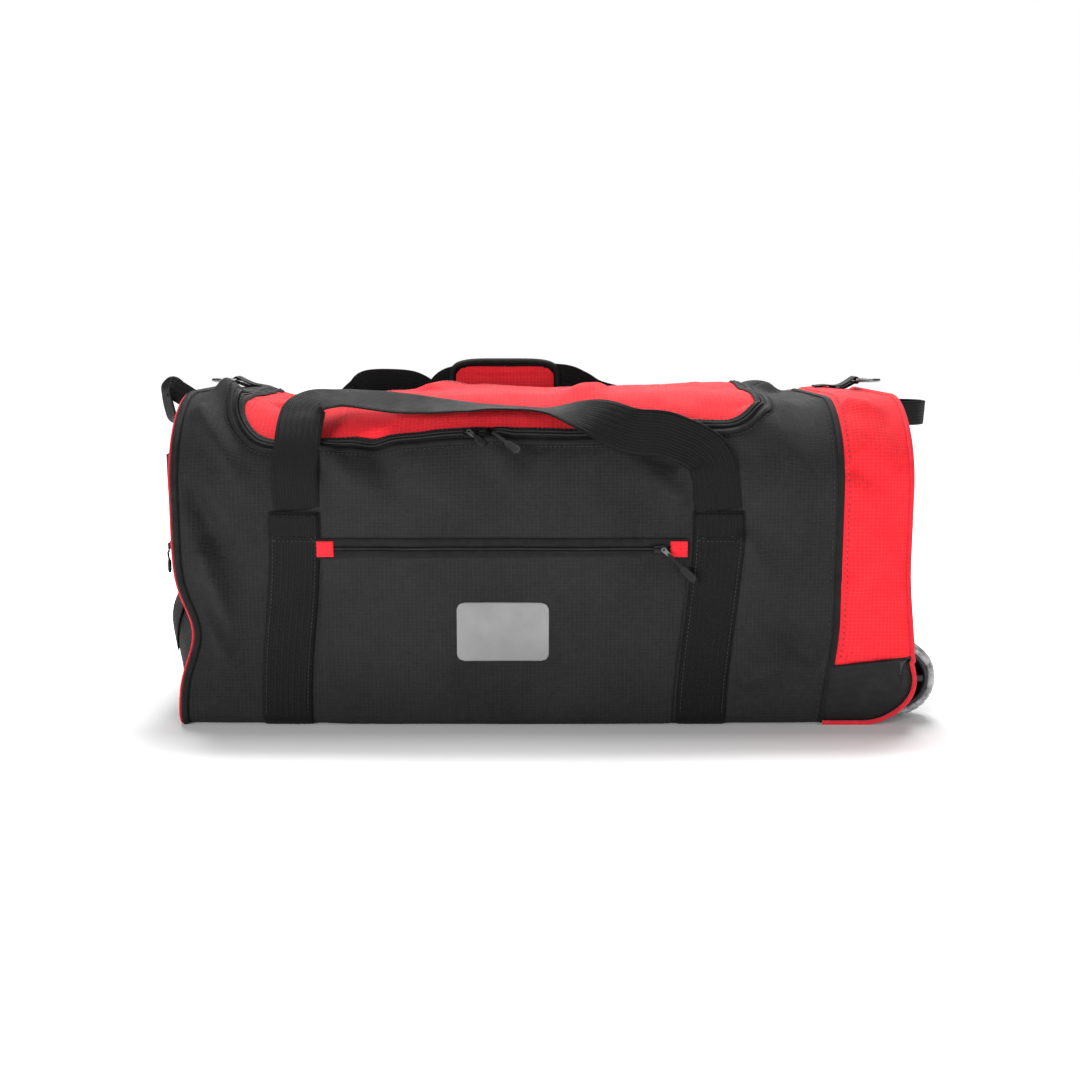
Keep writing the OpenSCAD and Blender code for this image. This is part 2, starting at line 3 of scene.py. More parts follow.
import bpy
import numpy as np
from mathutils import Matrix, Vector


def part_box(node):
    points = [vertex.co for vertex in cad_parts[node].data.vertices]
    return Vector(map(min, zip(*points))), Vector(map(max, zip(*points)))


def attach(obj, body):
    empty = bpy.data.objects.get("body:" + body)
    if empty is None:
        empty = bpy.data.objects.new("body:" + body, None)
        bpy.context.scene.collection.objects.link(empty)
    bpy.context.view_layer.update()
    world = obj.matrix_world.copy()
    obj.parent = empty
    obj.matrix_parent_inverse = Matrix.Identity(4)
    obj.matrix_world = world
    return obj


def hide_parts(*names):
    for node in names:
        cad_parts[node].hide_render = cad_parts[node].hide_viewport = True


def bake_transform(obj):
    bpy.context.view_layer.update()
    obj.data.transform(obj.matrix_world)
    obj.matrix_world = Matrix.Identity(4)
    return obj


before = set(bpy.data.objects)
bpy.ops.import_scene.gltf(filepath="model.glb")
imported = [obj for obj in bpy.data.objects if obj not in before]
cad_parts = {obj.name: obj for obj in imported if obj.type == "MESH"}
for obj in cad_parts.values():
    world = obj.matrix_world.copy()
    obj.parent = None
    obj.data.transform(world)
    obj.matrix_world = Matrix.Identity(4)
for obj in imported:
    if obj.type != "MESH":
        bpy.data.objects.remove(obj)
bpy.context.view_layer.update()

PI = math.pi

# ---------- sizes, in metres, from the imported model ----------

BODY_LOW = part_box("front_panel")[0]
GUSSET_LOW, GUSSET_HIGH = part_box("wheel_end_gusset")
HALF_W = -GUSSET_LOW.y
TOP_Z = GUSSET_HIGH.z
LEFT_X = BODY_LOW.x
RING_X = GUSSET_LOW.x
END_X = -LEFT_X
SHOULDER_R = 0.095
SHOULDER_Y = HALF_W - SHOULDER_R
SHOULDER_Z = TOP_Z - SHOULDER_R
BASE_R = 0.014
END_CORNER_R = 0.045
GUARD_Z = GUSSET_LOW.z
HINGE_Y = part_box("lid_panel")[1].y
# the photo's lid reaches a little further than the CAD's straight-edged one at both ends
LID_PAST_LEFT = 0.005
LID_PAST_RIGHT = 0.006
LID_X0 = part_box("lid_binding")[0].x - LID_PAST_LEFT
LID_X1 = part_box("lid_binding")[1].x + LID_PAST_RIGHT
LID_CORNER_R = 0.044
LID_FRONT_ELEV = math.radians(36)
END_FACE_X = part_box("left_end_panel")[0].x
WEB_W = 0.050
CENTRE_Z = 0.165
CLOTH_T = 0.0024
EDGE_CLOTH_T = 0.0022

CORNER = BASE_R * PI / 2
FRONT = SHOULDER_Z - BASE_R
SHOULDER = SHOULDER_R * PI / 2
S_MID = FRONT + SHOULDER + SHOULDER_Y
S_HINGE = S_MID + HINGE_Y


# ---------- numbers that vary smoothly ----------

def smooth(t):
    t = np.clip(t, 0.0, 1.0)
    return t * t * (3 - 2 * t)


def bump(t):
    return np.exp(-t * t)


LATTICE = 97


def value_noise(u, v, seed):
    """Smooth noise from -1 to 1 on a lattice of seeded values, one for each whole u and v."""
    lattice = np.random.default_rng(seed).random((LATTICE, LATTICE)) * 2 - 1
    iu, iv = np.floor(u).astype(int), np.floor(v).astype(int)
    fu, fv = smooth(u - iu), smooth(v - iv)
    i0, i1, j0, j1 = iu % LATTICE, (iu + 1) % LATTICE, iv % LATTICE, (iv + 1) % LATTICE
    low = lattice[i0, j0] * (1 - fu) + lattice[i1, j0] * fu
    high = lattice[i0, j1] * (1 - fu) + lattice[i1, j1] * fu
    return low * (1 - fv) + high * fv


def cloth_noise(u, v, seed):
    """Broad waves, folds and a fine crumple, from -1 to 1, for u and v in metres."""
    return (0.55 * value_noise(u / 0.11 + 7, v / 0.11 + 3, seed)
            + 0.30 * value_noise(u / 0.045 + 1, v / 0.05 + 9, seed + 1)
            + 0.15 * value_noise(u / 0.018 + 5, v / 0.02 + 2, seed + 2))


def crease(u, v, start, end, width, depth):
    """A fold that runs from start to end, fades out towards end and is depth high."""
    start, end = np.array(start), np.array(end)
    along = end - start
    length = math.hypot(*along)
    along = along / length
    du, dv = u - start[0], v - start[1]
    t = (du * along[0] + dv * along[1]) / length
    side = dv * along[0] - du * along[1]
    fade = smooth(t / 0.15) * (1 - smooth((t - 0.35) / 0.65))
    return depth * fade * bump(side / width)


# ---------- the body's surface ----------

def section(s, lift=0.0):
    """Point (y, z) on the body's cross-section, s along it from the front bottom edge upwards."""
    s = np.asarray(s, float)
    back = s > S_MID
    q = np.where(back, 2 * S_MID - s, s)
    low = np.clip((q + CORNER) / BASE_R, 0, PI / 2)
    high = np.clip((q - FRONT) / SHOULDER_R, 0, PI / 2)
    turn = low + high
    y = (-(HALF_W - BASE_R) - np.minimum(q + CORNER, 0) - BASE_R * np.sin(low)
         + SHOULDER_R * (1 - np.cos(high)) + np.maximum(q - FRONT - SHOULDER, 0))
    z = (BASE_R * (1 - np.cos(low)) + np.clip(q, 0, FRONT) + SHOULDER_R * np.sin(high))
    y, z = y - np.sin(turn) * lift, z - np.cos(turn) * lift
    return np.where(back, -y, y), z


def pillow(x, s):
    """How far the soft wall stands off the plain section, in metres."""
    q = np.where(s > S_MID, 2 * S_MID - s, s)
    between = np.clip((x - LEFT_X) / (RING_X - LEFT_X), 0, 1)
    wheel_end = np.clip((x - RING_X) / (END_X - RING_X), 0, 1)
    belly = np.where(x < RING_X, np.sin(PI * between) ** 0.6, 0.6 * np.sin(PI * wheel_end) ** 0.7)
    height = np.sin(PI * np.clip(q / (FRONT + SHOULDER), 0, 1)) ** 0.8
    body = 0.0045 * belly * (0.35 + 0.65 * height)
    held = smooth((q + 0.01) / 0.05) * smooth((x - LEFT_X) / 0.03) * smooth((END_X - x) / 0.03)
    near_ring = 1 - 0.8 * bump((x - RING_X) / 0.02)
    crumple = 0.0052 * cloth_noise(x, s, 11) * held * near_ring
    return body + crumple + FOLD_DEPTH * folds(x, s) * held - 0.002 * bump((x - RING_X) / 0.006)


# folds in the front cloth: (x, s) where each starts and fades out, its width and its height,
# which is multiplied by FOLD_DEPTH
FOLD_DEPTH = 2.6
FRONT_FOLDS = [
    ((-0.345, 0.400), (-0.285, 0.270), 0.012, 0.0050), ((-0.360, 0.330), (-0.290, 0.225), 0.011, 0.0045),
    ((-0.362, 0.235), (-0.300, 0.130), 0.013, -0.0050), ((-0.345, 0.180), (-0.310, 0.060), 0.012, 0.0040),
    ((-0.366, 0.100), (-0.295, 0.030), 0.013, 0.0045), ((-0.235, 0.285), (-0.170, 0.225), 0.012, 0.0035),
    ((-0.180, 0.300), (-0.140, 0.205), 0.014, -0.0040), ((-0.060, 0.290), (-0.020, 0.215), 0.016, 0.0030),
    ((0.140, 0.215), (0.080, 0.255), 0.012, 0.0035), ((0.135, 0.250), (0.065, 0.280), 0.010, -0.0030),
    ((0.185, 0.190), (0.245, 0.110), 0.014, 0.0030), ((0.200, 0.330), (0.262, 0.235), 0.016, 0.0038),
    ((0.280, 0.050), (0.215, 0.100), 0.013, -0.0035), ((0.190, 0.030), (0.250, 0.060), 0.012, 0.0035),
    ((0.300, 0.120), (0.345, 0.190), 0.014, 0.0030), ((0.300, 0.260), (0.350, 0.220), 0.014, -0.0030),
    ((0.298, 0.340), (0.352, 0.310), 0.012, 0.0028), ((-0.170, 0.395), (-0.130, 0.320), 0.016, -0.0060),
    ((0.060, 0.400), (0.010, 0.335), 0.018, 0.0035), ((-0.280, 0.395), (-0.262, 0.320), 0.012, -0.0030),
]


BACK_FOLD_SHIFT = -0.08
BACK_FOLD_SHARE = 0.8


def folds(x, s):
    """The front's folds, and weaker ones on the back, which the photo doesn't show."""
    mirrored = 2 * S_MID - s
    total = 0.0
    for start, end, width, depth in FRONT_FOLDS:
        total = total + crease(x, s, start, end, width, depth)
        total = total + BACK_FOLD_SHARE * crease(BACK_FOLD_SHIFT - x, mirrored, start, end, width, depth)
    return total


def warp(p):
    """The way that the whole soft body sags and leans, for points in an array (..., 3)."""
    x, y, z = p[..., 0].copy(), p[..., 1].copy(), p[..., 2].copy()
    high = smooth((z - 0.20) / (TOP_Z - 0.20))
    # the crown sinks deepest at the left strap, a little in the middle, and again just before the wheel end
    sag = 0.015 * smooth((-0.05 - x) / 0.18) * (1 - 0.8 * smooth((-0.285 - x) / 0.05))
    sag = sag + 0.003 * bump((x - 0.02) / 0.10) + 0.006 * smooth((x - 0.27) / 0.10)
    sag = sag + 0.010 * bump((x - 0.262) / 0.035)
    z_new = np.maximum(z - sag * high, 0.0006)
    # the left end's front edge is pushed in low down, and the ring leans inwards at its foot
    dent = 0.028 * bump((z - 0.095) / 0.040) * smooth((-0.305 - x) / 0.060) * smooth((-y - 0.06) / 0.09)
    lean = 0.010 * smooth(1 - z / 0.11) * bump((x - RING_X) / 0.035)
    slope = 0.009 * smooth((x - 0.33) / 0.04) * smooth((z - 0.05) / 0.12)
    corner_out = smooth((x - 0.345) / 0.03) * smooth((0.075 - z) / 0.03) * smooth((-y - 0.11) / 0.05)
    slope = slope - 0.006 * corner_out
    foot = 0.0035 * bump(z / 0.06) * smooth((-y - 0.12) / 0.05)
    return np.stack([x + 0.55 * dent - lean - slope, y + 0.30 * dent + foot, z_new], -1)


def surface(x, s, lift=0.0):
    """Points on the body's soft wall, lift metres outside its fabric."""
    x, s = np.broadcast_arrays(np.asarray(x, float), np.asarray(s, float))
    y, z = section(s, pillow(x, s) + lift)
    return warp(np.stack([x, y, z], -1))


# ---------- meshes ----------

def mesh_object(name, points, faces, uv=None):
    mesh = bpy.data.meshes.new(name)
    mesh.from_pydata([tuple(p) for p in np.asarray(points).reshape(-1, 3)], [], faces)
    mesh.update()
    if uv is not None:
        loops = np.empty(len(mesh.loops), int)
        mesh.loops.foreach_get("vertex_index", loops)
        layer = mesh.uv_layers.new(name="metres")
        layer.data.foreach_set("uv", np.asarray(uv, float).reshape(-1, 2)[loops].ravel())
    mesh.polygons.foreach_set("use_smooth", [True] * len(mesh.polygons))
    obj = bpy.data.objects.new(name, mesh)
    bpy.context.collection.objects.link(obj)
    return obj


def coords(obj):
    return np.array([v.co[:] for v in obj.data.vertices])


def set_coords(obj, co):
    obj.data.vertices.foreach_set("co", co.ravel())
    obj.data.update()


def drop_uvs(parts):
    """Parts with no UVs join cleanly with those that have none."""
    for part in parts:
        while part.data.uv_layers:
            part.data.uv_layers.remove(part.data.uv_layers[0])


def run_along(path):
    """How far each point of a path is along it."""
    return np.concatenate([[0], np.cumsum(np.linalg.norm(np.diff(path, axis=0), axis=1))])


def end_caps(rows, cols):
    return [tuple(range(cols))[::-1], tuple((rows - 1) * cols + k for k in range(cols))]


def grid_faces(rows, cols, wrap_rows=False, wrap_cols=False, keep=None):
    faces = []
    for i in range(rows if wrap_rows else rows - 1):
        for j in range(cols if wrap_cols else cols - 1):
            if keep is None or keep[i, j]:
                k, l = (i + 1) % rows, (j + 1) % cols
                faces.append((i * cols + j, i * cols + l, k * cols + l, k * cols + j))
    return faces


def grid(name, points, uv=None, **how):
    """A sheet through points in an array (rows, columns, 3)."""
    rows, cols = points.shape[:2]
    return mesh_object(name, points, grid_faces(rows, cols, **how), uv)


def face_out(obj):
    """Turns a sheet's faces away from the middle of the bag."""
    outward = sum((p.center - Vector((0, 0, CENTRE_Z))).dot(p.normal) * p.area for p in obj.data.polygons)
    if outward < 0:
        obj.data.flip_normals()


def thicken(obj, thickness, inner=None, rim=None):
    """Gives a sheet its cloth's thickness inwards; inner and rim pick those faces' material."""
    face_out(obj)
    solid = obj.modifiers.new("thickness", "SOLIDIFY")
    solid.thickness = thickness
    solid.offset = -1.0
    if inner is not None:
        solid.material_offset = inner
        solid.material_offset_rim = inner if rim is None else rim
    return obj


def finish_piece(obj, body, materials, replaced=()):
    """Materials, body and CAD nodes of one piece; lid_blend is cloth that crosses the lid's hinge."""
    for m in (materials if isinstance(materials, (list, tuple)) else [materials]):
        obj.data.materials.append(m)
    if body == "lid_blend":
        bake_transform(obj)
    else:
        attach(obj, body)
    if replaced:
        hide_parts(*replaced)
    return obj


def resample(points, count):
    """Points spaced evenly along a smooth curve through the given ones."""
    p = np.asarray(points, float)
    ends = np.vstack([2 * p[0] - p[1], p, 2 * p[-1] - p[-2]])
    fine = []
    for i in range(1, len(ends) - 2):
        a, b, c, d = ends[i - 1:i + 3]
        t = np.linspace(0, 1, 24, endpoint=False)[:, None]
        fine.append(0.5 * (2 * b + (c - a) * t + (2 * a - 5 * b + 4 * c - d) * t ** 2
                           + (3 * b - a - 3 * c + d) * t ** 3))
    fine = np.vstack(fine + [ends[-2][None]])
    run = run_along(fine[:, :3])
    want = np.linspace(0, run[-1], count)
    return np.stack([np.interp(want, run, fine[:, k]) for k in range(fine.shape[1])], -1), want


def unit(v):
    return v / np.maximum(np.linalg.norm(v, axis=-1, keepdims=True), 1e-9)


def tangents(p):
    return unit(np.gradient(p, axis=0))


def tube_points(path, radius, up, around=10, squash=1.0):
    """Rings of points round a path; up holds each ring's outward direction."""
    t = tangents(path)
    side = unit(np.cross(t, up))
    out = np.cross(side, t)
    a = np.linspace(0, 2 * PI, around, endpoint=False)[None, :, None]
    return path[:, None] + radius * (np.cos(a) * out[:, None] * squash + np.sin(a) * side[:, None])


def tube(name, path, radius, up, around=10, squash=1.0, closed=False):
    pts = tube_points(np.asarray(path), radius, np.asarray(up), around, squash)
    rows, cols = pts.shape[:2]
    round_it = np.linspace(0, 2 * PI * radius, cols)[None]
    uv = np.stack(np.broadcast_arrays(run_along(path)[:, None], round_it), -1)
    faces = grid_faces(rows, cols, wrap_rows=closed, wrap_cols=True)
    if not closed:
        faces += end_caps(rows, cols)
    return mesh_object(name, pts, faces, uv)


def band(name, path, across, normal, width, thickness):
    """A webbing along a path: flat faces with slightly rounded edges."""
    t, w = thickness / 2, width / 2
    flat = np.linspace(-1, 1, 13) * (w - 0.35 * thickness)
    outline = np.array([(k, t) for k in flat] + [(w, 0.0)] + [(k, -t) for k in flat[::-1]] + [(-w, 0.0)])
    pts = (path[:, None] + outline[None, :, :1] * across[:, None] + outline[None, :, 1:] * normal[:, None])
    v = outline[None, :, 0] + 0.2 * (outline[None, :, 1] < 0)
    uv = np.stack(np.broadcast_arrays(run_along(path)[:, None], v), -1)
    rows, cols = pts.shape[:2]
    return mesh_object(name, pts, grid_faces(rows, cols, wrap_cols=True) + end_caps(rows, cols), uv)


def join(name, objects):
    bpy.ops.object.select_all(action="DESELECT")
    for o in objects:
        o.select_set(True)
    bpy.context.view_layer.objects.active = objects[0]
    bpy.ops.object.join()
    objects[0].name = name
    objects[0].data.name = name
    return objects[0]


# ---------- materials ----------

class Finish:
    """A Principled material, with short calls for the nodes that feed it."""

    def __init__(self, name, roughness, metallic=0.0, **fixed):
        self.mat = bpy.data.materials.new(name)
        self.mat.use_nodes = True
        self.tree = self.mat.node_tree
        self.bsdf = self.tree.nodes["Principled BSDF"]
        self.bsdf.inputs["Roughness"].default_value = roughness
        self.bsdf.inputs["Metallic"].default_value = metallic
        for key, value in fixed.items():
            self.bsdf.inputs[key.replace("_", " ")].default_value = value

    def add(self, kind, inputs=(), **props):
        node = self.tree.nodes.new("ShaderNode" + kind)
        for key, value in props.items():
            setattr(node, key, value)
        for key, value in dict(inputs).items():
            if isinstance(value, bpy.types.NodeSocket):
                self.tree.links.new(value, node.inputs[key])
            else:
                node.inputs[key].default_value = value
        return node

    def math(self, op, a, b=0.0, c=0.0):
        return self.add("Math", {0: a, 1: b, 2: c}, operation=op).outputs[0]

    def uv(self):
        parts = self.add("SeparateXYZ", {0: self.add("UVMap").outputs[0]})
        return parts.outputs[0], parts.outputs[1]

    def place(self):
        return self.add("TexCoord").outputs["Object"]

    def wave(self, along, period):
        turn = self.math("COSINE", self.math("MULTIPLY", along, 2 * PI / period))
        return self.math("MULTIPLY_ADD", turn, 0.5, 0.5)

    def noise(self, scale, detail=2.0, roughness=0.5, where=None):
        return self.add("TexNoise", {"Vector": where or self.place(), "Scale": scale, "Detail": detail,
                                     "Roughness": roughness}).outputs[0]

    def spread(self, value, low, high, to_low=0.0, to_high=1.0):
        return self.add("MapRange", {0: value, 1: low, 2: high, 3: to_low, 4: to_high}).outputs[0]

    def mix(self, factor, a, b):
        node = self.add("Mix", data_type="RGBA")
        for socket, value in ((node.inputs[0], factor), (node.inputs[6], a), (node.inputs[7], b)):
            if isinstance(value, bpy.types.NodeSocket):
                self.tree.links.new(value, socket)
            else:
                socket.default_value = value
        return node.outputs[2]

    def colour(self, socket):
        self.tree.links.new(socket, self.bsdf.inputs["Base Color"])

    def rough(self, socket):
        self.tree.links.new(socket, self.bsdf.inputs["Roughness"])

    def raise_by(self, height, distance, strength=1.0):
        node = self.add("Bump", {"Height": height, "Strength": strength, "Distance": distance})
        self.tree.links.new(node.outputs[0], self.bsdf.inputs["Normal"])


def grey(v, tint=(1, 1, 1)):
    return (v * tint[0], v * tint[1], v * tint[2], 1)


def ripstop(name, dark, light, line, sheen, grid_line=0.55):
    """Plain weave with a thicker thread every few millimetres both ways."""
    f = Finish(name, 0.72, Sheen_Weight=sheen, Sheen_Roughness=0.45, Specular_IOR_Level=0.12)
    u, v = f.uv()
    thick_u, thick_v = f.math("POWER", f.wave(u, 0.0042), 9.0), f.math("POWER", f.wave(v, 0.0036), 9.0)
    thick = f.math("MAXIMUM", thick_u, thick_v)
    weave = f.math("MULTIPLY", f.wave(u, 0.0009), f.wave(v, 0.0009))
    crumple = f.noise(260, 3, 0.6)
    broad = f.noise(9, 3, 0.55)
    tone = f.math("ADD", f.spread(crumple, 0.35, 0.68, 0, 0.45), f.spread(broad, 0.35, 0.65, 0, 0.40))
    base = f.mix(tone, dark, light)
    faded = f.math("MULTIPLY", thick, f.spread(f.noise(70, 2), 0.38, 0.62, 0.15, grid_line))
    f.colour(f.mix(faded, base, line))
    f.rough(f.spread(crumple, 0.3, 0.7, 0.62, 0.82))
    height = f.math("ADD", f.math("MULTIPLY", thick, 0.7),
                    f.math("ADD", f.math("MULTIPLY", weave, 0.35), f.math("MULTIPLY", crumple, 1.1)))
    f.raise_by(height, 0.0006, 0.75)
    return f.mat


def webbing(name, dark, light, rib=0.0022):
    """Ribbed belt, with chevrons along it."""
    f = Finish(name, 0.62, Sheen_Weight=0.01, Sheen_Roughness=0.4, Specular_IOR_Level=0.14)
    u, v = f.uv()
    ribs = f.wave(f.math("ADD", u, f.math("MULTIPLY", f.math("PINGPONG", v, 0.003), 0.6)), rib)
    rows = f.wave(v, 0.003)
    cloud = f.noise(40, 3, 0.6)
    tone = f.math("ADD", f.math("MULTIPLY", f.math("MULTIPLY", ribs, rows), 0.6),
                  f.spread(cloud, 0.35, 0.7, 0, 0.4))
    f.colour(f.mix(tone, dark, light))
    f.rough(f.spread(cloud, 0.3, 0.7, 0.55, 0.72))
    f.raise_by(f.math("MULTIPLY_ADD", ribs, 0.6, f.math("MULTIPLY", rows, 0.5)), 0.0006, 0.8)
    return f.mat


def tape(name, dark, light, fine=0.0011):
    """Woven binding or zip tape: a fine herringbone."""
    f = Finish(name, 0.66, Specular_IOR_Level=0.15)
    u, v = f.uv()
    ribs = f.wave(f.math("ADD", u, f.math("PINGPONG", v, 0.002)), fine)
    cloud = f.noise(90, 3, 0.6)
    tone = f.math("ADD", f.math("MULTIPLY", ribs, 0.45), f.spread(cloud, 0.35, 0.7, 0, 0.5))
    f.colour(f.mix(tone, dark, light))
    f.raise_by(ribs, 0.0003, 0.6)
    return f.mat


def plastic(name, dark, light, roughness, grain=900, worn=0.0):
    """Moulded plastic with a fine grain and edges rubbed slightly lighter."""
    f = Finish(name, roughness, Specular_IOR_Level=0.28)
    fine = f.noise(grain, 2)
    cloud = f.noise(22, 3)
    edge = f.spread(f.add("NewGeometry").outputs["Pointiness"], 0.50, 0.60, 0, worn)
    f.colour(f.mix(f.math("ADD", f.spread(cloud, 0.35, 0.65, 0, 0.7), edge), dark, light))
    f.rough(f.spread(f.noise(55, 3), 0.3, 0.7, roughness - 0.06, roughness + 0.10))
    f.raise_by(fine, 0.0002, 0.5)
    return f.mat


def metal(name, dark, light, roughness, brushed=400):
    """Plated or enamelled metal with faint brushing and smudges."""
    f = Finish(name, roughness, metallic=1.0)
    stretch = f.add("Mapping", {"Vector": f.place(), "Scale": (1, 1, 14)}).outputs[0]
    lines = f.noise(brushed, 2, 0.6, stretch)
    smudge = f.noise(45, 3)
    f.colour(f.mix(f.spread(smudge, 0.35, 0.65), dark, light))
    f.rough(f.math("ADD", f.spread(lines, 0.3, 0.7, 0, 0.12), f.spread(smudge, 0.3, 0.7, roughness - 0.05,
                                                                       roughness + 0.08)))
    f.raise_by(lines, 0.0001, 0.4)
    return f.mat


def tyre_rubber():
    """Glossy mottled polyurethane, grey with darker and lighter marbling and road dust."""
    f = Finish("tyre", 0.3, Specular_IOR_Level=0.6, Coat_Weight=0.25, Coat_Roughness=0.15)
    marble = f.noise(75, 5, 0.65)
    dust = f.noise(330, 3, 0.6)
    base = f.mix(f.spread(marble, 0.38, 0.62), grey(0.055, (1, 1.02, 1.05)), grey(0.42, (1, 1.02, 1.06)))
    f.colour(f.mix(f.spread(dust, 0.52, 0.70, 0, 0.55), base, grey(0.55)))
    f.rough(f.spread(marble, 0.3, 0.7, 0.22, 0.45))
    f.raise_by(marble, 0.0006, 0.5)
    return f.mat


def reflective_film():
    """Grey reflective film: fine irregular cells under a satin face."""
    f = Finish("reflective", 0.5, Specular_IOR_Level=0.35)
    cells = f.add("TexVoronoi", {"Vector": f.place(), "Scale": 650.0}, feature="DISTANCE_TO_EDGE").outputs[0]
    cloud = f.noise(30, 3)
    f.colour(f.mix(f.spread(cloud, 0.35, 0.65), grey(0.19, (1, 1, 1.01)), grey(0.23, (1, 1, 1.01))))
    f.rough(f.spread(cloud, 0.3, 0.7, 0.36, 0.5))
    f.raise_by(cells, 0.0003, 0.4)
    return f.mat


def lining():
    """Smooth black nylon lining with a faint sheen."""
    f = Finish("lining", 0.5, Sheen_Weight=0.2, Sheen_Roughness=0.3, Specular_IOR_Level=0.4)
    fine = f.noise(700, 2)
    cloud = f.noise(14, 3)
    f.colour(f.mix(f.spread(cloud, 0.35, 0.65), grey(0.016), grey(0.028)))
    f.raise_by(f.math("ADD", fine, f.math("MULTIPLY", cloud, 2.0)), 0.0005, 0.5)
    return f.mat


def coated(name):
    """Thick coated wear cloth: a coarse weave under the coating, scuffed lighter in places."""
    f = Finish(name, 0.6, Specular_IOR_Level=0.16)
    u, v = f.uv()
    weave = f.math("MULTIPLY", f.wave(u, 0.0024), f.wave(v, 0.0024))
    scuff = f.spread(f.noise(32, 5, 0.7), 0.56, 0.74, 0, 0.6)
    f.colour(f.mix(f.math("ADD", f.math("MULTIPLY", weave, 0.25), scuff), grey(0.010), grey(0.022)))
    f.rough(f.spread(f.noise(120, 3), 0.3, 0.7, 0.48, 0.68))
    f.raise_by(f.math("ADD", weave, f.noise(420, 2)), 0.0005, 0.6)
    return f.mat


BLACK_CLOTH = ripstop("black_ripstop", grey(0.0100, (1.04, 1.0, 1.04)), grey(0.0235, (1.03, 1.0, 1.02)),
                      grey(0.034, (1.05, 1.0, 0.98)), 0.01, 0.30)
RED_CLOTH = ripstop("red_ripstop", (0.66, 0.012, 0.020, 1), (0.82, 0.022, 0.034, 1),
                    (0.95, 0.075, 0.09, 1), 0.04, 0.30)
WEB = webbing("webbing", grey(0.0026), grey(0.0075))
WEB_SOFT = webbing("handle_webbing", grey(0.0028), grey(0.0080), rib=0.0018)
BINDING = tape("binding", grey(0.006), grey(0.016))
ZIP_TAPE = tape("zip_tape", grey(0.0055), grey(0.014), fine=0.0008)
PIPING = ripstop("piping", (0.60, 0.010, 0.022, 1), (0.78, 0.025, 0.045, 1), (0.85, 0.06, 0.08, 1), 0.15, 0.2)
COIL = plastic("zip_coil", grey(0.008), grey(0.02), 0.62)
PULL = plastic("pull_rubber", grey(0.006), grey(0.014), 0.6)
ENAMEL = metal("black_enamel", grey(0.012), grey(0.03), 0.38)
GUNMETAL = metal("gunmetal", grey(0.10), grey(0.19), 0.28)
STEEL = metal("plated_steel", grey(0.50), grey(0.68), 0.24)
FILM = reflective_film()
LINING = lining()
COATED = coated("coated_cloth")
HOUSING = plastic("housing_plastic", grey(0.012), grey(0.03), 0.5, worn=0.6)
BOARD = plastic("board_plastic", grey(0.02), grey(0.04), 0.6)
HUB = plastic("hub_plastic", grey(0.014), grey(0.035), 0.45, worn=0.5)
TYRE = tyre_rubber()
THREAD = tape("thread", grey(0.02), grey(0.045), fine=0.0006)


# ---------- camera, floor and light ----------

# millimetres, metres and degrees below level, fitted to the photo's view of the body
CAMERA_LENS = 44.2
CAMERA_SENSOR = 36
CAMERA_PLACE = (-0.007, -1.475, 0.40)
CAMERA_DOWN = 9.1
FLOOR_R = 8.0
WORLD_LIGHT = 0.20
# name, place, aim, size, watts
LIGHTS = (("key", (-1.9, -2.3, 0.75), (0, 0, 0.17), (1.0, 0.7), 54),
          ("fill", (1.9, -2.3, 0.6), (0, 0, 0.17), (1.0, 0.7), 22),
          ("top", (0.0, 0.85, 2.2), (0, 0, 0.2), (2.2, 0.9), 92),
          ("back", (0.3, 2.4, 1.3), (0, 0, 0.2), (2.0, 1.2), 20))


def add_camera():
    data = bpy.data.cameras.new("camera")
    data.lens = CAMERA_LENS
    data.sensor_width = CAMERA_SENSOR
    camera = bpy.data.objects.new("camera", data)
    camera.location = CAMERA_PLACE
    camera.rotation_euler = (math.radians(90 - CAMERA_DOWN), 0, 0)
    bpy.context.collection.objects.link(camera)
    bpy.context.scene.camera = camera


def add_light(name, place, aim, size, power):
    data = bpy.data.lights.new(name, "AREA")
    data.shape = "RECTANGLE"
    data.size, data.size_y = size
    data.energy = power
    lamp = bpy.data.objects.new(name, data)
    lamp.location = place
    lamp.rotation_euler = (Vector(aim) - Vector(place)).to_track_quat("-Z", "Y").to_euler()
    bpy.context.collection.objects.link(lamp)


